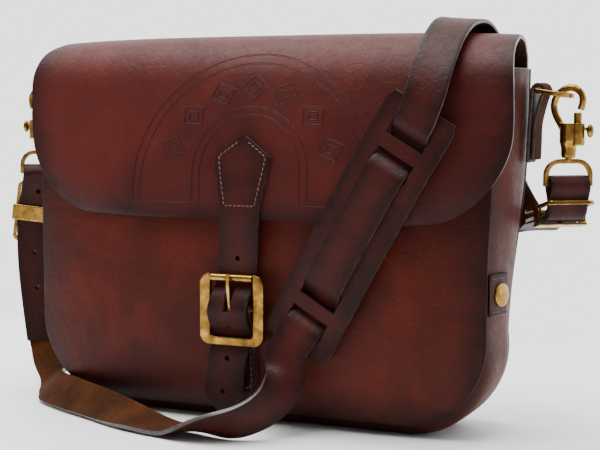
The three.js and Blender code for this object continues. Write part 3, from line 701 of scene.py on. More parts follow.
def hide_place(u, v):
    side = 2 * v - 1
    if u <= BACK_SHARE:
        z = SEAM_Z + BACK_L * u / BACK_SHARE
        back_half = half_width(z) - 0.5 - taper(z) * corner_share(z)
        reach = lerp(back_half, flap_half_width(0), smooth(z, 200, HINGE_Z))
        swell = noise.noise(Vector((side * 3, z / 60, 2.0))) * 0.8
        inside = smooth(z, 15, 60) * (1 - smooth(z, 200, 262)) * (1 - side**6)
        y = HINGE_Y - 0.5 * (1 - smooth(z, 255, HINGE_Z))
        point = Vector((side * reach, y + swell * inside, z))
        return point, min(reach * (1 - abs(side)), z - SEAM_Z + 4)
    t = (u - BACK_SHARE) / (1 - BACK_SHARE)
    reach = flap_half_width(t)
    swell = noise.noise(Vector((side * 3.4, t * 4, 5.0))) * 0.9 * smooth(t, 0.1, 0.4)
    point = flap_at(t, v)
    point.y -= swell * (1 - side**8) * (1 - smooth(t, 0.8, 1))
    turn = max(0.0, (t - 1) * FLAP_L + FLAP_CORNER_R)
    from_edge = min(reach * (1 - abs(side)), (1 - t) * FLAP_L)
    if turn > 0:
        inner = FLAP_HALF_W - FLAP_DRAW - FLAP_CORNER_R
        beyond = max(0.0, reach * abs(side) - inner)
        from_edge = FLAP_CORNER_R - math.hypot(turn, beyond)
    return point, from_edge * 0.8


flap_grain = tanned_grain(
    "waxed bridle hide, flap", "#36100d", "#421511", "#501b16", "#180707", 80, 2.0, 0.42
)
back_and_flap = cut_leather(
    "back_and_flap",
    hide_stops,
    panel_columns,
    hide_place,
    HIDE,
    [flap_grain, body_flesh, dark_rim],
    (BACK_L + FLAP_L, 2 * (FLAP_HALF_W - FLAP_WAIST / 2)),
)
fit(
    back_and_flap,
    ("bag", "flap", (0, 0.036, 0.28), (0, 0.008, 0.28)),
    ["back_panel", "flap"],
)


# ---- Tooling on the flap ----
# Lines pressed into the damp hide with a creasing iron: a groove between two raised lips.
# They draw two arches, one in the other, with a row of plain lozenges between them.
ARCH_X, ARCH_FOOT_Z = 11, 166
OUTER_SPRING_Z, INNER_SPRING_Z = 176, 190
OUTER_LINES, INNER_LINES = (100, 93.5), (47.5, 41.5)
ROW_Z, ROW_WIDE, ROW_TALL = 180, 70, 72
LOZENGE_TURNS = (22, 45, 68, 90, 112, 135, 158)
LOZENGE_SIZES = (11, 5)
FOOT_LINES = ((-91, -30), (52, 112))


def flap_spot(x, z):
    """A point on the flap's outer face at x and z, and the way out of it."""
    low, high = 0.22, 1.0
    for _ in range(26):
        mid = (low + high) / 2
        side = 0.5 + (x - flap_shift(mid)) / (2 * flap_half_width(mid))
        if flap_at(mid, side).z > z:
            low = mid
        else:
            high = mid
    v = 0.5 + (x - flap_shift(low)) / (2 * flap_half_width(low))
    step = 0.004
    here = hide_place(BACK_SHARE + low * (1 - BACK_SHARE), v)[0]
    down = flap_at(min(1, low + step), v) - flap_at(low - step, v)
    over = flap_at(low, v + step) - flap_at(low, v - step)
    out = down.cross(over).normalized()
    return here + out * (HIDE / 2), out


def crease(form, dark, path):
    """One creased line on the flap, along a path of (x, z) points. Its section goes across
    it: how far over, how far out of the hide, and how dark."""
    spots = [flap_spot(*p) for p in path]
    section = ((-1.15, -0.2, 0.0), (-0.6, 0.2, 0.0), (-0.2, 0.03, 1.0), (0.2, 0.03, 1.0))
    section += ((0.6, 0.2, 0.0), (1.15, -0.2, 0.0))
    made = bmesh.ops.create_grid(
        form, x_segments=len(spots) - 1, y_segments=len(section) - 1, size=0.5
    )
    for corner in made["verts"]:
        i = round((corner.co.x + 0.5) * (len(spots) - 1))
        across, lift, shade = section[round((corner.co.y + 0.5) * (len(section) - 1))]
        point, out = spots[i]
        ahead = spots[min(i + 1, len(spots) - 1)][0] - spots[max(i - 1, 0)][0]
        side = out.cross(ahead).normalized()
        corner.co = point + side * across + out * lift
        corner[dark] = shade


def arch(spring, radius):
    """Foot to foot: up one leg, round the top and down the other leg."""
    left = [(ARCH_X - radius, lerp(ARCH_FOOT_Z, spring, t)) for t in even(14)]
    top = [
        (ARCH_X - radius * math.cos(math.pi * t), spring + radius * math.sin(math.pi * t))
        for t in even(90)
    ]
    right = [(ARCH_X + radius, lerp(spring, ARCH_FOOT_Z, t)) for t in even(14)]
    return left + top[1:-1] + right


tooling = bmesh.new()
groove_tone = tooling.verts.layers.float.new("burnish_and_shade")
for spring, radii in ((OUTER_SPRING_Z, OUTER_LINES), (INNER_SPRING_Z, INNER_LINES)):
    for radius in radii:
        crease(tooling, groove_tone, arch(spring, radius))
for start, stop in FOOT_LINES:
    crease(tooling, groove_tone, [(lerp(start, stop, t), ARCH_FOOT_Z) for t in even(30)])
for turn in LOZENGE_TURNS:
    a = math.radians(turn)
    centre_x = ARCH_X + ROW_WIDE * math.cos(a)
    centre_z = ROW_Z + ROW_TALL * math.sin(a)
    for size in LOZENGE_SIZES:
        corners = [
            (centre_x + size * math.cos(a + b), centre_z + size * 0.8 * math.sin(a + b))
            for b in (0, math.pi / 2, math.pi, -math.pi / 2, 0)
        ]
        for (x0, z0), (x1, z1) in zip(corners, corners[1:]):
            crease(tooling, groove_tone, [(lerp(x0, x1, t), lerp(z0, z1, t)) for t in even(6)])
tooled_lines = new_piece("flap_tooling", tooling, [flap_grain])
fit(tooled_lines, "flap")


# ---- Closure chape ----
# A short strap of harness leather, folded round the buckle's centre bar and sewn flat to
# the front panel through both layers.
BUCKLE_X, BUCKLE_Y, BUCKLE_Z = 1.0, -73.5, 89.0
BILLET_W = 31.0
CHAPE_W = BILLET_W - 1
CHAPE_T = 2.2
FOLD_R = 2.9
PRONG_SLOT = (7.5, 30, 14)

strap_grain = tanned_grain(
    "harness leather, dark brown", "#2c0e0b", "#3a130f", "#491b15", "#120605", 45, 1.6, 0.4, True
)
strap_flesh = flesh_side("harness leather, flesh side", "#4e2a12", "#241308")
strap_rim = burnished_rim("burnished strap edge", "#1c1412", "#54413a")
strap_sides = [strap_grain, strap_flesh, strap_rim]


def panel_face(z):
    return front_y(BUCKLE_X, z) - HIDE / 2


chape_knots = [(BUCKLE_X, panel_face(z) - 4.1, z) for z in (26, 40, 55, 68)]
chape_knots += [(BUCKLE_X, BUCKLE_Y + 2.6, 79), (BUCKLE_X, BUCKLE_Y - 0.9, BUCKLE_Z - 3.0)]
for turn in (160, 110, 60, 10, -40):
    a = math.radians(turn)
    fold_y = BUCKLE_Y + FOLD_R * math.cos(a)
    chape_knots.append((BUCKLE_X, fold_y, BUCKLE_Z + FOLD_R * math.sin(a)))
chape_knots += [(BUCKLE_X, panel_face(z) - 1.5, z) for z in (74, 62, 50, 36)]
chape_line = Line(chape_knots)


def chape_place(u, v):
    point = chape_line.along(v)
    width = CHAPE_W * (0.72 + 0.28 * smooth(v, 0, 0.09))
    point.x += (u - 0.5) * width
    return point, min(u, 1 - u) * width


prong_gap = bmesh.new()
bmesh.ops.create_cube(prong_gap, size=1.0)
bmesh.ops.scale(prong_gap, vec=PRONG_SLOT, verts=prong_gap.verts)
bmesh.ops.translate(
    prong_gap, vec=(BUCKLE_X - 1, BUCKLE_Y, BUCKLE_Z + 0.5), verts=prong_gap.verts
)
chape = cut_leather(
    "closure_chape_folded",
    even(12),
    even(110),
    chape_place,
    CHAPE_T,
    strap_sides,
    (BILLET_W, chape_line.length),
    prong_gap,
    0.5,
)
fit(chape, "bag", ["closure_chape"])

# Saddle stitches of waxed linen thread, six or so to the inch. Each is sunk a little into the
# grain.
thread = empty_material("waxed linen thread, brown")
thread_where = add_node(thread, "ShaderNodeTexCoord").outputs["Object"]
ply = add_node(
    thread, "ShaderNodeTexNoise", {"Vector": thread_where, "Scale": 1000 / 1.2, "Detail": 3.0}
)
thread_colour = add_node(
    thread,
    "ShaderNodeValToRGB",
    {"Fac": ply.outputs["Fac"]},
    stops=[(0.35, "#3b1f17"), (0.7, "#8a5a3e")],
)
thread_surface = add_node(
    thread,
    "ShaderNodeBsdfPrincipled",
    {"Base Color": thread_colour.outputs["Color"], "Roughness": 0.6, "Sheen Weight": 0.2},
)
add_node(thread, "ShaderNodeOutputMaterial", {"Surface": thread_surface.outputs["BSDF"]})


def sew(name, runs, body, pitch=4.3, radius=0.42):
    """Stitches along runs of (point, way out) pairs."""
    form = bmesh.new()
    for run in runs:
        gone = [0.0]
        for (p, _), (q, _) in zip(run, run[1:]):
            gone.append(gone[-1] + (q - p).length)
        count = max(1, round(gone[-1] / pitch))
        spots = []
        k = 0
        for i in range(count + 1):
            want = gone[-1] * i / count
            while k < len(run) - 2 and gone[k + 1] < want:
                k += 1
            t = (want - gone[k]) / max(gone[k + 1] - gone[k], 1e-6)
            spots.append((run[k][0].lerp(run[k + 1][0], t), run[k][1].lerp(run[k + 1][1], t)))
        for (p, out), (q, _) in zip(spots, spots[1:]):
            length = (q - p).length
            along = (q - p) / length
            out = (out - along * out.dot(along)).normalized()
            tilt = (along + out.cross(along) * 0.22).normalized()
            side = out.cross(tilt)
            turn = Matrix((tilt, side, out)).transposed().to_4x4()
            size = Matrix.Diagonal((length * 0.42, radius, radius * 0.9, 1.0))
            at = Matrix.Translation((p + q) / 2 + out * radius * 0.25)
            bmesh.ops.create_uvsphere(
                form, u_segments=8, v_segments=5, radius=1.0, matrix=at @ turn @ size
            )
    fit(new_piece(name, form, [thread]), body)


def sheet_spot(place, u, v, half_thick):
    """A point on the grain side of a cut piece, and the way out of it."""
    step = 1e-3
    here = place(u, v)[0]
    du = place(min(1, u + step), v)[0] - place(max(0, u - step), v)[0]
    dv = place(u, min(1, v + step))[0] - place(u, max(0, v - step))[0]
    out = du.cross(dv).normalized()
    return here + out * half_thick, out


def stitch_box(place, thick, left, right, foot, top, steps):
    """Stitch runs up both sides of a piece and across its foot, as shares of u and v."""
    runs = [
        [sheet_spot(place, u, lerp(foot, top, t), thick / 2) for t in even(steps[0])]
        for u in (left, right)
    ]
    across = [sheet_spot(place, lerp(left, right, t), foot, thick / 2) for t in even(steps[1])]
    return [*runs, across]


sew("chape_stitches", stitch_box(chape_place, CHAPE_T, 0.11, 0.89, 0.03, 0.27, (40, 12)), "bag")


# ---- Closure billet ----
# The strap that does up the flap: a five-sided head sewn to the flap, holes an inch apart,
# and a pointed end. It goes behind the roller, over the centre bar and behind the lower bar.
BILLET_T = 3.2
TOP_BAR = 23.5
BILLET_TIP = 8.0
BILLET_CUT_L = 210
HOLE_HEIGHTS = (127, 77, 52, 27)
PRONG_OPENING = (6.4, 24, 18)
# Its half width at lengths down from the head's point.
billet_outline = [(0, 1.2), (15, 23), (27, 21), (48, 16.5), (56, BILLET_W / 2)]
billet_outline += [(195, BILLET_W / 2), (BILLET_CUT_L, 1.5)]


def surface_y(x, z):
    if z < FLAP_END_Z - 2:
        return front_y(x, z) - HIDE / 2
    return flap_spot(x, z)[0].y


billet_line = Line(
    [
        (7, surface_y(6, 217) - 1.9, 217),
        (6.5, surface_y(5, 190) - 1.9, 190),
        (5.5, surface_y(3, 160) - 2.2, 160),
        (4.7, -69.6, 145),
        (3.5, -68.6, 125),
        (2.2, BUCKLE_Y + 5.0, BUCKLE_Z + TOP_BAR + 1),
        (1.9, BUCKLE_Y + 4.0, BUCKLE_Z + TOP_BAR - 5),
        (0.3, BUCKLE_Y - 3.8, BUCKLE_Z + 8),
        (-0.6, BUCKLE_Y - 6.0, BUCKLE_Z),
        (-0.8, BUCKLE_Y - 3.8, BUCKLE_Z - 8),
        (-1.2, BUCKLE_Y + 3.9, BUCKLE_Z - TOP_BAR + 5),
        (-1.8, BUCKLE_Y + 4.2, BUCKLE_Z - TOP_BAR - 1),
        (-3.6, -71.0, 55),
        (-7.5, -70.0, 35),
        (-11.3, -65, BILLET_TIP),
    ]
)
BILLET_L = billet_line.length


def billet_half(down):
    d = down * BILLET_CUT_L / BILLET_L
    for (d0, h0), (d1, h1) in zip(billet_outline, billet_outline[1:]):
        if d <= d1:
            return lerp(h0, h1, (d - d0) / (d1 - d0))
    return billet_outline[-1][1]


def billet_place(u, v):
    """v runs from the pointed end up to the head."""
    down = (1 - v) * BILLET_L
    half = billet_half(down)
    point = billet_line.along(1 - v) + Vector(((2 * u - 1) * half, 0, 0))
    return point, min(min(u, 1 - u) * 2 * half, down * 0.7, v * BILLET_L)


def round_punch(form, spot, out, radius=2.1, depth=14):
    turn = out.to_track_quat("Z", "Y").to_matrix().to_4x4()
    bmesh.ops.create_cone(
        form,
        cap_ends=True,
        segments=20,
        radius1=radius,
        radius2=radius,
        depth=depth,
        matrix=Matrix.Translation(spot) @ turn,
    )


billet_holes = bmesh.new()
for z in HOLE_HEIGHTS:
    share = min(even(600), key=lambda s: abs(billet_line.along(s).z - z))
    spot, out = sheet_spot(billet_place, 0.5, 1 - share, 0.0)
    round_punch(billet_holes, spot, out)
prong_hole = bmesh.ops.create_cube(billet_holes, size=1.0)["verts"]
bmesh.ops.scale(billet_holes, vec=PRONG_OPENING, verts=prong_hole)
bmesh.ops.translate(
    billet_holes, vec=(BUCKLE_X - 1, BUCKLE_Y, BUCKLE_Z + 8), verts=prong_hole
)
billet = cut_leather(
    "closure_billet_strap",
    even(14),
    even(150),
    billet_place,
    BILLET_T,
    strap_sides,
    (BILLET_W, BILLET_L),
    billet_holes,
    0.9,
)
fit(billet, "flap", ["closure_billet"])


def billet_run(side):
    """Stitches down one edge of the head, at an even distance in from it."""
    run = []
    for t in even(40):
        down = 4.6 + 47 * t
        v = 1 - down / BILLET_L
        half = billet_half(down)
        inset = max(0.0, half - 3.6) / max(half, 1e-6)
        run.append(sheet_spot(billet_place, 0.5 + 0.5 * side * inset, v, BILLET_T / 2))
    return run


head_runs = [billet_run(side) for side in (-1, 1)]
head_foot = 1 - 51.6 / BILLET_L
head_runs.append(
    [sheet_spot(billet_place, lerp(0.13, 0.87, t), head_foot, BILLET_T / 2) for t in even(12)]
)
sew("billet_head_stitches", head_runs, "flap", 3.6)


# ---- Brass fittings ----
# Sand-cast and drawn brass, tumbled and left to age: bright where it is rubbed, brown in
# the hollows. The casting's corners are soft, so each solid is fused and eased here.
def aged_brass(name, bright, worn, dull, rough):
    brass = empty_material(name)
    where = add_node(brass, "ShaderNodeTexCoord").outputs["Object"]
    patina = add_node(
        brass,
        "ShaderNodeTexNoise",
        {"Vector": where, "Scale": 1000 / 9, "Detail": 6.0, "Roughness": 0.65},
    )
    colour = add_node(
        brass,
        "ShaderNodeValToRGB",
        {"Fac": patina.outputs["Fac"]},
        stops=[(0.3, dull), (0.68, bright), (0.5, worn)],
    )
    scuffs = add_node(
        brass,
        "ShaderNodeTexNoise",
        {"Vector": where, "Scale": 1000 / 1.4, "Detail": 4.0, "Roughness": 0.7},
    )
    polish = add_node(
        brass,
        "ShaderNodeMapRange",
        {
            "Value": patina.outputs["Fac"],
            "From Min": 0.3,
            "From Max": 0.7,
            "To Min": rough + 0.14,
            "To Max": rough,
        },
    )
    dents = add_node(
        brass,
        "ShaderNodeBump",
        {"Height": scuffs.outputs["Fac"], "Strength": 0.25, "Distance": 0.00025},
    )
    surface = add_node(
        brass,
        "ShaderNodeBsdfPrincipled",
        {
            "Base Color": colour.outputs["Color"],
            "Metallic": 1.0,
            "Roughness": polish.outputs["Result"],
            "Normal": dents.outputs["Normal"],
        },
    )
    add_node(brass, "ShaderNodeOutputMaterial", {"Surface": surface.outputs["BSDF"]})
    return brass


cast_brass = aged_brass("cast brass, tumbled", "#b98f48", "#906a30", "#4f3919", 0.24)
drawn_brass = aged_brass("drawn brass wire", "#c29a50", "#9c7638", "#664b23", 0.2)


def ease_casting(node, material, voxel=0.42, passes=5):
    """Fuses a CAD node's solids into one casting with soft corners; voxel is in mm."""
    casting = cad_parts[node]
    casting.data.materials.clear()
    casting.data.materials.append(material)
    fuse = casting.modifiers.new("fused", "REMESH")
    fuse.mode = "VOXEL"
    fuse.voxel_size = voxel / 1000
    fuse.use_smooth_shade = True
    ease = casting.modifiers.new("eased", "SMOOTH")
    ease.factor = 0.5
    ease.iterations = passes


ease_casting("buckle_frame", cast_brass)
ease_casting("buckle_prong", drawn_brass, 0.3)
ease_casting("buckle_roller", drawn_brass, 0.3, 3)
for side in ("left", "right"):
    ease_casting(side + "_conway_buckle", drawn_brass, 0.42)
    ease_casting(side + "_dee_ring", drawn_brass, 0.36, 8)
    ease_casting(side + "_snap_hook", cast_brass, 0.42, 7)
    ease_casting(side + "_swivel_eye", cast_brass, 0.4, 7)
    ease_casting(side + "_plunger", cast_brass, 0.32, 4)
    ease_casting(side + "_patch_rivet", drawn_brass, 0.36, 3)

spring_wire = empty_material("drawn spring steel")
spring_where = add_node(spring_wire, "ShaderNodeTexCoord").outputs["Object"]
draw_marks = add_node(
    spring_wire, "ShaderNodeTexNoise", {"Vector": spring_where, "Scale": 2500.0, "Detail": 2.0}
)
spring_bump = add_node(
    spring_wire,
    "ShaderNodeBump",
    {"Height": draw_marks.outputs["Fac"], "Strength": 0.2, "Distance": 0.0001},
)
spring_surface = add_node(
    spring_wire,
    "ShaderNodeBsdfPrincipled",
    {
        "Base Color": linear("#8d8d8a"),
        "Metallic": 1.0,
        "Roughness": 0.3,
        "Normal": spring_bump.outputs["Normal"],
    },
)
add_node(spring_wire, "ShaderNodeOutputMaterial", {"Surface": spring_surface.outputs["BSDF"]})
for side in ("left", "right"):
    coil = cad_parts[side + "_plunger_spring"]
    coil.data.materials.clear()
    coil.data.materials.append(spring_wire)


# ---- Shoulder pad ----
# A slab of harness leather with four slots that the strap is woven through. It spreads
# the strap's load and slides along it.
STRAP_W = 29.0
PAD_W, PAD_T, PAD_L = 56.0, 3.4, 200.0
PAD_SLOTS = (20, 47, 153, 180)
PAD_X, PAD_Z = 50.0, 65.0
PAD_LEAN = math.radians(30.1)
SLOT_BOX = (STRAP_W + 2, 16, 15)
pad_up = Vector((math.sin(PAD_LEAN), 0, math.cos(PAD_LEAN)))
pad_side = Vector((math.cos(PAD_LEAN), 0, -math.sin(PAD_LEAN)))


def pad_point(s, across=0.0, lift=0.0):
    z = PAD_Z + s * pad_up.z
    y = lerp(-70, -74.5, smooth(z, 70, 150)) + 5.5 * smooth(z, 190, 245)
    point = Vector((PAD_X, 0, PAD_Z)) + pad_up * s + pad_side * across
    point.y = y - lift
    return point


def pad_place(u, v):
    s = v * PAD_L
    end = min(s, PAD_L - s)
    half = PAD_W / 2 - 3 * (1 - smooth(end, 0, 8))
    curl = 1.2 * (2 * u - 1) ** 2 * smooth(end, 0, 20)
    point = pad_point(s, (2 * u - 1) * half, -curl)
    return point, min(min(u, 1 - u) * 2 * half, end)


pad_slots = bmesh.new()
for i, s in enumerate(PAD_SLOTS):
    slot = bmesh.ops.create_cube(pad_slots, size=1.0)["verts"]
    bmesh.ops.scale(pad_slots, vec=SLOT_BOX, verts=slot)
    bmesh.ops.rotate(
        pad_slots, cent=(0, 0, 0), matrix=Matrix.Rotation(PAD_LEAN, 3, "Y"), verts=slot
    )
    middle = pad_point(s + (-1 if i % 2 else 1))
    bmesh.ops.translate(pad_slots, vec=middle, verts=slot)
pad = cut_leather(
    "shoulder_pad_slab",
    even(24),
    even(90),
    pad_place,
    PAD_T,
    strap_sides,
    (PAD_W, PAD_L),
    pad_slots,
    0.9,
)
fit(pad, "flap", ["shoulder_pad"])


# ---- Shoulder strap ----
# One long strap of harness leather, 29 mm wide. Both ends are folded through a D-eye and
# held by a Conway buckle. It rests on the table, twists, and is woven through the pad.
STRAP_T = 3.2
BAR_Z = 183.0
LAYER = STRAP_T / 2 + 0.35
LOOP_R = 6.8
LOOP_DROP = 2
LEFT_BAR, LEFT_ACROSS = Vector((-226, 7, BAR_Z)), Vector((0.9, 0.43, 0)).normalized()
RIGHT_BAR, RIGHT_ACROSS = Vector((227.5, 16, BAR_Z)), Vector((0.8, 0.6, 0))
left_out = LEFT_ACROSS.cross(Vector((0, 0, 1)))
right_out = RIGHT_ACROSS.cross(Vector((0, 0, 1)))


def left_at(shift, layer, z):
    return Vector((LEFT_BAR.x + shift, LEFT_BAR.y, z)) + left_out * layer


def right_at(away, z):
    return Vector((RIGHT_BAR.x, RIGHT_BAR.y, z)) + right_out * away


TILT = math.radians(78)
BEND_R = 10.0
BEND_Z = BAR_Z - 14
STUD_HOLE = (2.0, 5)
SIZE_HOLE = (2.0, 3)


def doubled(d, layer):
    """The right end's doubled stretch: it drops from the bar, then bends in under it."""
    turn = min(d / BEND_R, TILT)
    on = max(0.0, d - BEND_R * TILT)
    r = BEND_R + layer
    return right_at(
        -BEND_R + r * math.cos(turn) - on * math.sin(TILT),
        BEND_Z - r * math.sin(turn) - on * math.cos(TILT),
    )


# Places along the strap, from its left end to its right one, each with the way across it.
stations = [
    (left_at(0, LAYER, 40), LEFT_ACROSS),
    (left_at(-5, LAYER, 75), LEFT_ACROSS),
    (left_at(-8.5, LAYER, 110), LEFT_ACROSS),
    (left_at(-8, LAYER, 145), LEFT_ACROSS),
    (left_at(-3.5, LAYER + 0.6, 166), LEFT_ACROSS),
]
for turn in range(0, 181, 30):
    a = math.radians(turn)
    stations.append(
        (left_at(0, LOOP_R * math.cos(a), BAR_Z + LOOP_R * math.sin(a) - LOOP_DROP), LEFT_ACROSS)
    )
stations += [
    (left_at(-3.5, -LAYER - 0.6, 166), LEFT_ACROSS),
    (left_at(-8, -LAYER, 145), LEFT_ACROSS),
    (left_at(-8.5, -LAYER, 110), LEFT_ACROSS),
    (left_at(-5, -LAYER, 75), LEFT_ACROSS),
    (left_at(-1.5, -LAYER - 0.2, 52), LEFT_ACROSS),
    ((-223, 7, 36), (0.9, 0.42, 0.05)),
    ((-215, 0, 24), (0.8, 0.52, 0.28)),
    ((-200, -13, 15.5), (0.6, 0.62, 0.5)),
    ((-190, -32, 13), (0.35, 0.7, 0.62)),
    ((-177, -51, 12.5), (0.12, 0.74, 0.66)),
    ((-150, -68, 12.5), (-0.2, 0.75, 0.62)),
    ((-112, -84, 10.5), (-0.35, 0.8, 0.48)),
    ((-70, -102, 8), (-0.25, 0.9, 0.32)),
    ((-28, -112, 4.5), (0.02, 1, 0.02)),
    ((8, -119, 11.5), (0.1, 0.75, -0.55)),
    ((30, -112, 16.5), (-0.1, 0.5, -0.85)),
    ((45, -96, 28), (0.2, 0.3, -0.92)),
    ((50, -83, 45), (0.75, 0.1, -0.62)),
    (pad_point(-6, 0, 8), pad_side),
]
OVER = STRAP_T / 2 + PAD_T / 2 + 1
# The weave through the pad: how far up the pad, and how far in front of it or behind it.
weave = [(10, OVER), (16, OVER - 1), (20.5, 0), (25, -OVER), (33.5, -OVER - 0.2), (42, -OVER)]
weave += [(46.5, 0), (51, OVER - 1), (58, OVER), (80, OVER), (100, OVER), (120, OVER)]
weave += [(142, OVER), (149, OVER - 1), (153.5, 0), (158, -OVER), (166.5, -OVER - 0.2)]
HIDDEN_JOIN = len(stations) + len(weave) - 1
weave += [(175, -OVER), (179.5, 0), (184, OVER - 1), (191, OVER)]
stations += [(pad_point(s, 0, lift), pad_side) for s, lift in weave]
stations += [
    ((151, -73.5, 245), (0.86, 0, -0.5)),
    ((154, -63, 268), (0.87, -0.1, -0.45)),
    ((154, -38, 290), (0.88, -0.25, -0.35)),
    ((152.5, -9, 300), (0.95, -0.2, -0.15)),
    ((154, 20, 298), (0.96, -0.15, 0.05)),
    ((158, 41, 279), (0.98, -0.1, 0.1)),
    ((163, 46, 240), (1, 0, 0)),
    ((165, 48, 212), (1, 0, 0)),
    ((167, 55, 188), (0.99, 0.1, 0)),
    ((172, 66, 167), (0.93, 0.35, 0)),
    ((181, 71, 151), (0.86, 0.5, 0)),
    ((190, 66.5, 145.5), (0.82, 0.57, 0)),
    (doubled(57, LAYER - 0.6), RIGHT_ACROSS),
]
doubled_steps = (0, 5, 10, 18, 27, 37, 47)
stations += [(doubled(d, LAYER), RIGHT_ACROSS) for d in reversed(doubled_steps)]
stations.append((right_at(4.2, BAR_Z - 8), RIGHT_ACROSS))
for turn in range(0, 181, 30):
    a = math.radians(turn)
    stations.append(
        (right_at(LOOP_R * math.cos(a), BAR_Z + LOOP_R * math.sin(a) - LOOP_DROP), RIGHT_ACROSS)
    )
stations.append((right_at(-4.2, BAR_Z - 8), RIGHT_ACROSS))
stations += [(doubled(d, -LAYER), RIGHT_ACROSS) for d in (*doubled_steps, 55)]
strap_line = Line([s[0] for s in stations])
strap_across = Line([Vector(s[1]).normalized() for s in stations])
LAST = len(stations) - 1


def strap_place(share, side):
    """A point across the strap at a share of its stations; side is -1 to 1."""
    step = 2e-4
    here = strap_line.at(share)
    ahead = (strap_line.at(min(1, share + step)) - strap_line.at(max(0, share - step))).normalized()
    across = strap_across.at(share)
    across = (across - ahead * across.dot(ahead)).normalized()
    return here + across * side * STRAP_W / 2


STRAP_STEP = 2.5


def strap_length(first, last, name, punches):
    """A length of the strap between two stations."""
    start = strap_line.table[round(first / LAST * strap_line.steps)]
    stop = strap_line.table[round(last / LAST * strap_line.steps)]
    count = round((stop - start) / STRAP_STEP)
    lookup = {t: strap_line.share(lerp(start, stop, t)) for t in even(count)}

    def place(u, v):
        from_end = min(v * (stop - start), (1 - v) * (stop - start))
        from_edge = min(u, 1 - u) * STRAP_W
        hidden = from_end if (first == 0) == (v < 0.5) else from_edge
        return strap_place(lookup[v], 2 * u - 1), min(from_edge, hidden)

    return cut_leather(
        name,
        even(10),
        even(count),
        place,
        STRAP_T,
        strap_sides,
        (STRAP_W, stop - start),
        punches,
        0.9,
    )


LEFT_RISE = 4
left_holes = bmesh.new()
for z in (167, 114, 84):
    rise = (t / 1000 * LEFT_RISE / LAST for t in range(1001))
    share = min(rise, key=lambda s: abs(strap_line.at(s).z - z))
    round_punch(left_holes, strap_line.at(share), left_out, *STUD_HOLE)
front_length = strap_length(0, HIDDEN_JOIN, "shoulder_strap_front", left_holes)
fit(
    front_length,
    ("bag", "flap", (-0.200, 0, 0), (0.030, 0, 0)),
    ["shoulder_strap"],
)
right_holes = bmesh.new()
for d in (41, 51):
    way = (doubled(d, 1) - doubled(d, -1)).normalized()
    round_punch(right_holes, doubled(d, -LAYER), way, *SIZE_HOLE)
back_length = strap_length(HIDDEN_JOIN, LAST, "shoulder_strap_back", right_holes)
fit(
    back_length,
    ("flap", "bag", (0.154, 0, 0.292), (0.18067, 0.02667, 0.27867)),
)


# ---- Ring tabs ----
# On each side a short strap is folded round the dee ring's straight bar, and both of its
# layers are sewn to the gusset.
TAB_W = 17.0
TAB_T = 3.0
WIRE_R = 1.7
RING_Z = 246.2
RING_TILT = math.radians(9)
RING_REACH = 24 - WIRE_R
INNER_OFF, OUTER_OFF = 3.0, 6.9
TAB_SEWN = (4, 24)


def side_face(z):
    return HALF_W + flare(z) + GUSSET_BULGE


def ring_tab(name, side, bar):
    hook_x = bar.x + side * 1.5
    loop_x = hook_x - side * RING_REACH * math.cos(RING_TILT)
    loop_z = RING_Z + RING_REACH * math.sin(RING_TILT)
    inner = [(side * (side_face(z) + INNER_OFF), 0, z) for z in (198, 210, 222)]
    turn_r = WIRE_R + STRAP_T / 2 + 1.2
    loop = []
    for turn in (190, 150, 110, 70, 30, -10, -50):
        a = math.radians(turn)
        loop.append((loop_x + side * turn_r * math.cos(a), 0, loop_z + turn_r * math.sin(a)))
    outer = [(side * (side_face(z) + OUTER_OFF), 0, z) for z in (226, 212, 200)]
    line = Line(inner + loop + outer)

    def place(u, v):
        point = line.along(v)
        point.y = bar.y + (u - 0.5) * TAB_W * side
        return point, min(u, 1 - u) * TAB_W

    tab = cut_leather(
        name + "_ring_tab_folded",
        even(8),
        even(90),
        place,
        TAB_T,
        strap_sides,
        (TAB_W, line.length),
        None,
        0.7,
    )
    fit(tab, "bag", [name + "_ring_tab"])
    low, high = (1 - sewn / line.length for sewn in TAB_SEWN)
    runs = stitch_box(place, TAB_T, 0.16, 0.84, low, high, (30, 8))
    sew(name + "_tab_stitches", runs, "bag", 3.8)


ring_tab("left", -1, LEFT_BAR)
ring_tab("right", 1, RIGHT_BAR)


# ---- Gusset patches ----
# A thinner patch low on each side backs the capped rivet. It is sewn along its top and
# bottom edges and goes into the front seam.
PATCH_T = 2.4
PATCH_FOOT_Z, PATCH_TOP_Z = 91, 121
PATCH_W, PATCH_H = 26, PATCH_TOP_Z - PATCH_FOOT_Z
PATCH_LIP = 0.9
PATCH_GAP = 0.4


def gusset_patch(name, side):
    def place(u, v):
        z = lerp(PATCH_FOOT_Z, PATCH_TOP_Z, v)
        run = (GUSSET_TOP_Z - z) / WHOLE_RUN
        depth = lerp(0.02, 0.36, u if side > 0 else 1 - u)
        seat = gusset_at(run if side < 0 else 1 - run, depth)
        lip = PATCH_LIP * (1 - smooth(v, 0, 0.12))
        seat.x += side * (HIDE / 2 + PATCH_T / 2 + PATCH_GAP + lip)
        free_end = (u if side < 0 else 1 - u) * PATCH_W
        return seat, min(v * PATCH_H, (1 - v) * PATCH_H, free_end)

    patch = cut_leather(
        name + "_gusset_patch_sewn",
        even(20),
        even(20),
        place,
        PATCH_T,
        gusset_sides,
        (PATCH_W, PATCH_H),
        None,
        0.7,
    )
    fit(patch, "bag", [name + "_gusset_patch"])
    runs = [
        [sheet_spot(place, lerp(0.06, 0.94, t), v, PATCH_T / 2) for t in even(16)]
        for v in (0.1, 0.9)
    ]
    sew(name + "_patch_stitches", runs, "bag", 3.4, 0.36)


gusset_patch("left", -1)
gusset_patch("right", 1)


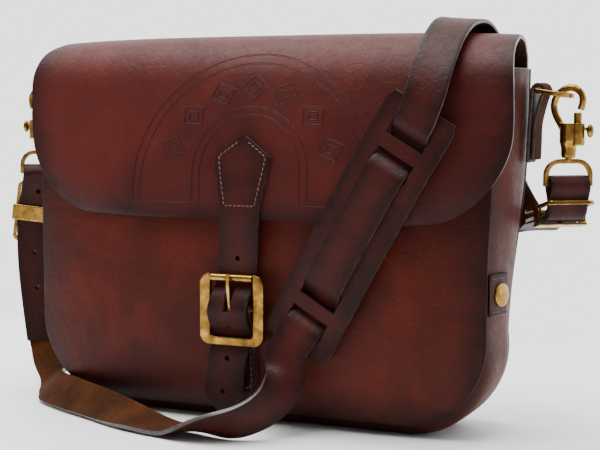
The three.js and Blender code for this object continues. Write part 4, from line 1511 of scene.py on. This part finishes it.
# ---- Table and light ----
# A plain white table top that ends a little way behind the satchel, in front of the pale backdrop.
# The light comes from above and behind, and the room is dim in front of the satchel.
# These sizes are in metres.
TABLE_REACH = 4.0
TABLE_EDGE_Y = 0.371
TABLE_EDGE_SLANT = 0.138
table_form = bmesh.new()
bmesh.ops.create_grid(table_form, x_segments=1, y_segments=1, size=TABLE_REACH)
for corner in table_form.verts:
    if corner.co.y > 0:
        corner.co.y = TABLE_EDGE_Y + TABLE_EDGE_SLANT * corner.co.x
table_paint = empty_material("matt white table top")
table_where = add_node(table_paint, "ShaderNodeTexCoord").outputs["Object"]
table_tone = add_node(
    table_paint, "ShaderNodeTexNoise", {"Vector": table_where, "Scale": 6.0, "Detail": 3.0}
)
table_colour = add_node(
    table_paint,
    "ShaderNodeValToRGB",
    {"Fac": table_tone.outputs["Fac"]},
    stops=[(0.3, "#f4f4f4"), (0.7, "#f8f8f8")],
)
table_surface = add_node(
    table_paint,
    "ShaderNodeBsdfPrincipled",
    {"Base Color": table_colour.outputs["Color"], "Roughness": 0.55},
)
add_node(table_paint, "ShaderNodeOutputMaterial", {"Surface": table_surface.outputs["BSDF"]})
new_piece("table_top", table_form, [table_paint])

# The room's light depends on direction alone: bright behind the satchel, dim in front of it.
ROOM_DIM, ROOM_BRIGHT = 0.12, 3.0
world = bpy.data.worlds.new("pale room")
world.use_nodes = True
world.node_tree.nodes.clear()
direction = add_node(world, "ShaderNodeTexCoord").outputs["Generated"]
depth_way = add_node(world, "ShaderNodeSeparateXYZ", {"Vector": direction}).outputs["Y"]
room_light = add_node(
    world,
    "ShaderNodeMapRange",
    {
        "Value": depth_way,
        "From Min": -0.5,
        "From Max": 0.35,
        "To Min": ROOM_DIM,
        "To Max": ROOM_BRIGHT,
    },
)
room = add_node(
    world,
    "ShaderNodeBackground",
    {"Color": linear("#e4e4e3"), "Strength": room_light.outputs["Result"]},
)
add_node(world, "ShaderNodeOutputWorld", {"Surface": room.outputs["Background"]})
bpy.context.scene.world = world


BAG_MIDDLE = Vector((0, 0, 0.15))


def soft_box(name, where, size, power):
    """A white lamp with a wide face, turned towards the middle of the bag."""
    lamp = bpy.data.lights.new(name, "AREA")
    lamp.shape = "RECTANGLE"
    lamp.size, lamp.size_y = size
    lamp.energy = power
    holder = bpy.data.objects.new(name, lamp)
    holder.location = where
    holder.rotation_euler = (BAG_MIDDLE - Vector(where)).to_track_quat("-Z", "Y").to_euler()
    bpy.context.scene.collection.objects.link(holder)


soft_box("ceiling_box", (-0.2, -0.25, 1.5), (1.6, 1.0), 48)
soft_box("window_box", (-1.2, -1.1, 0.9), (0.9, 0.9), 3)
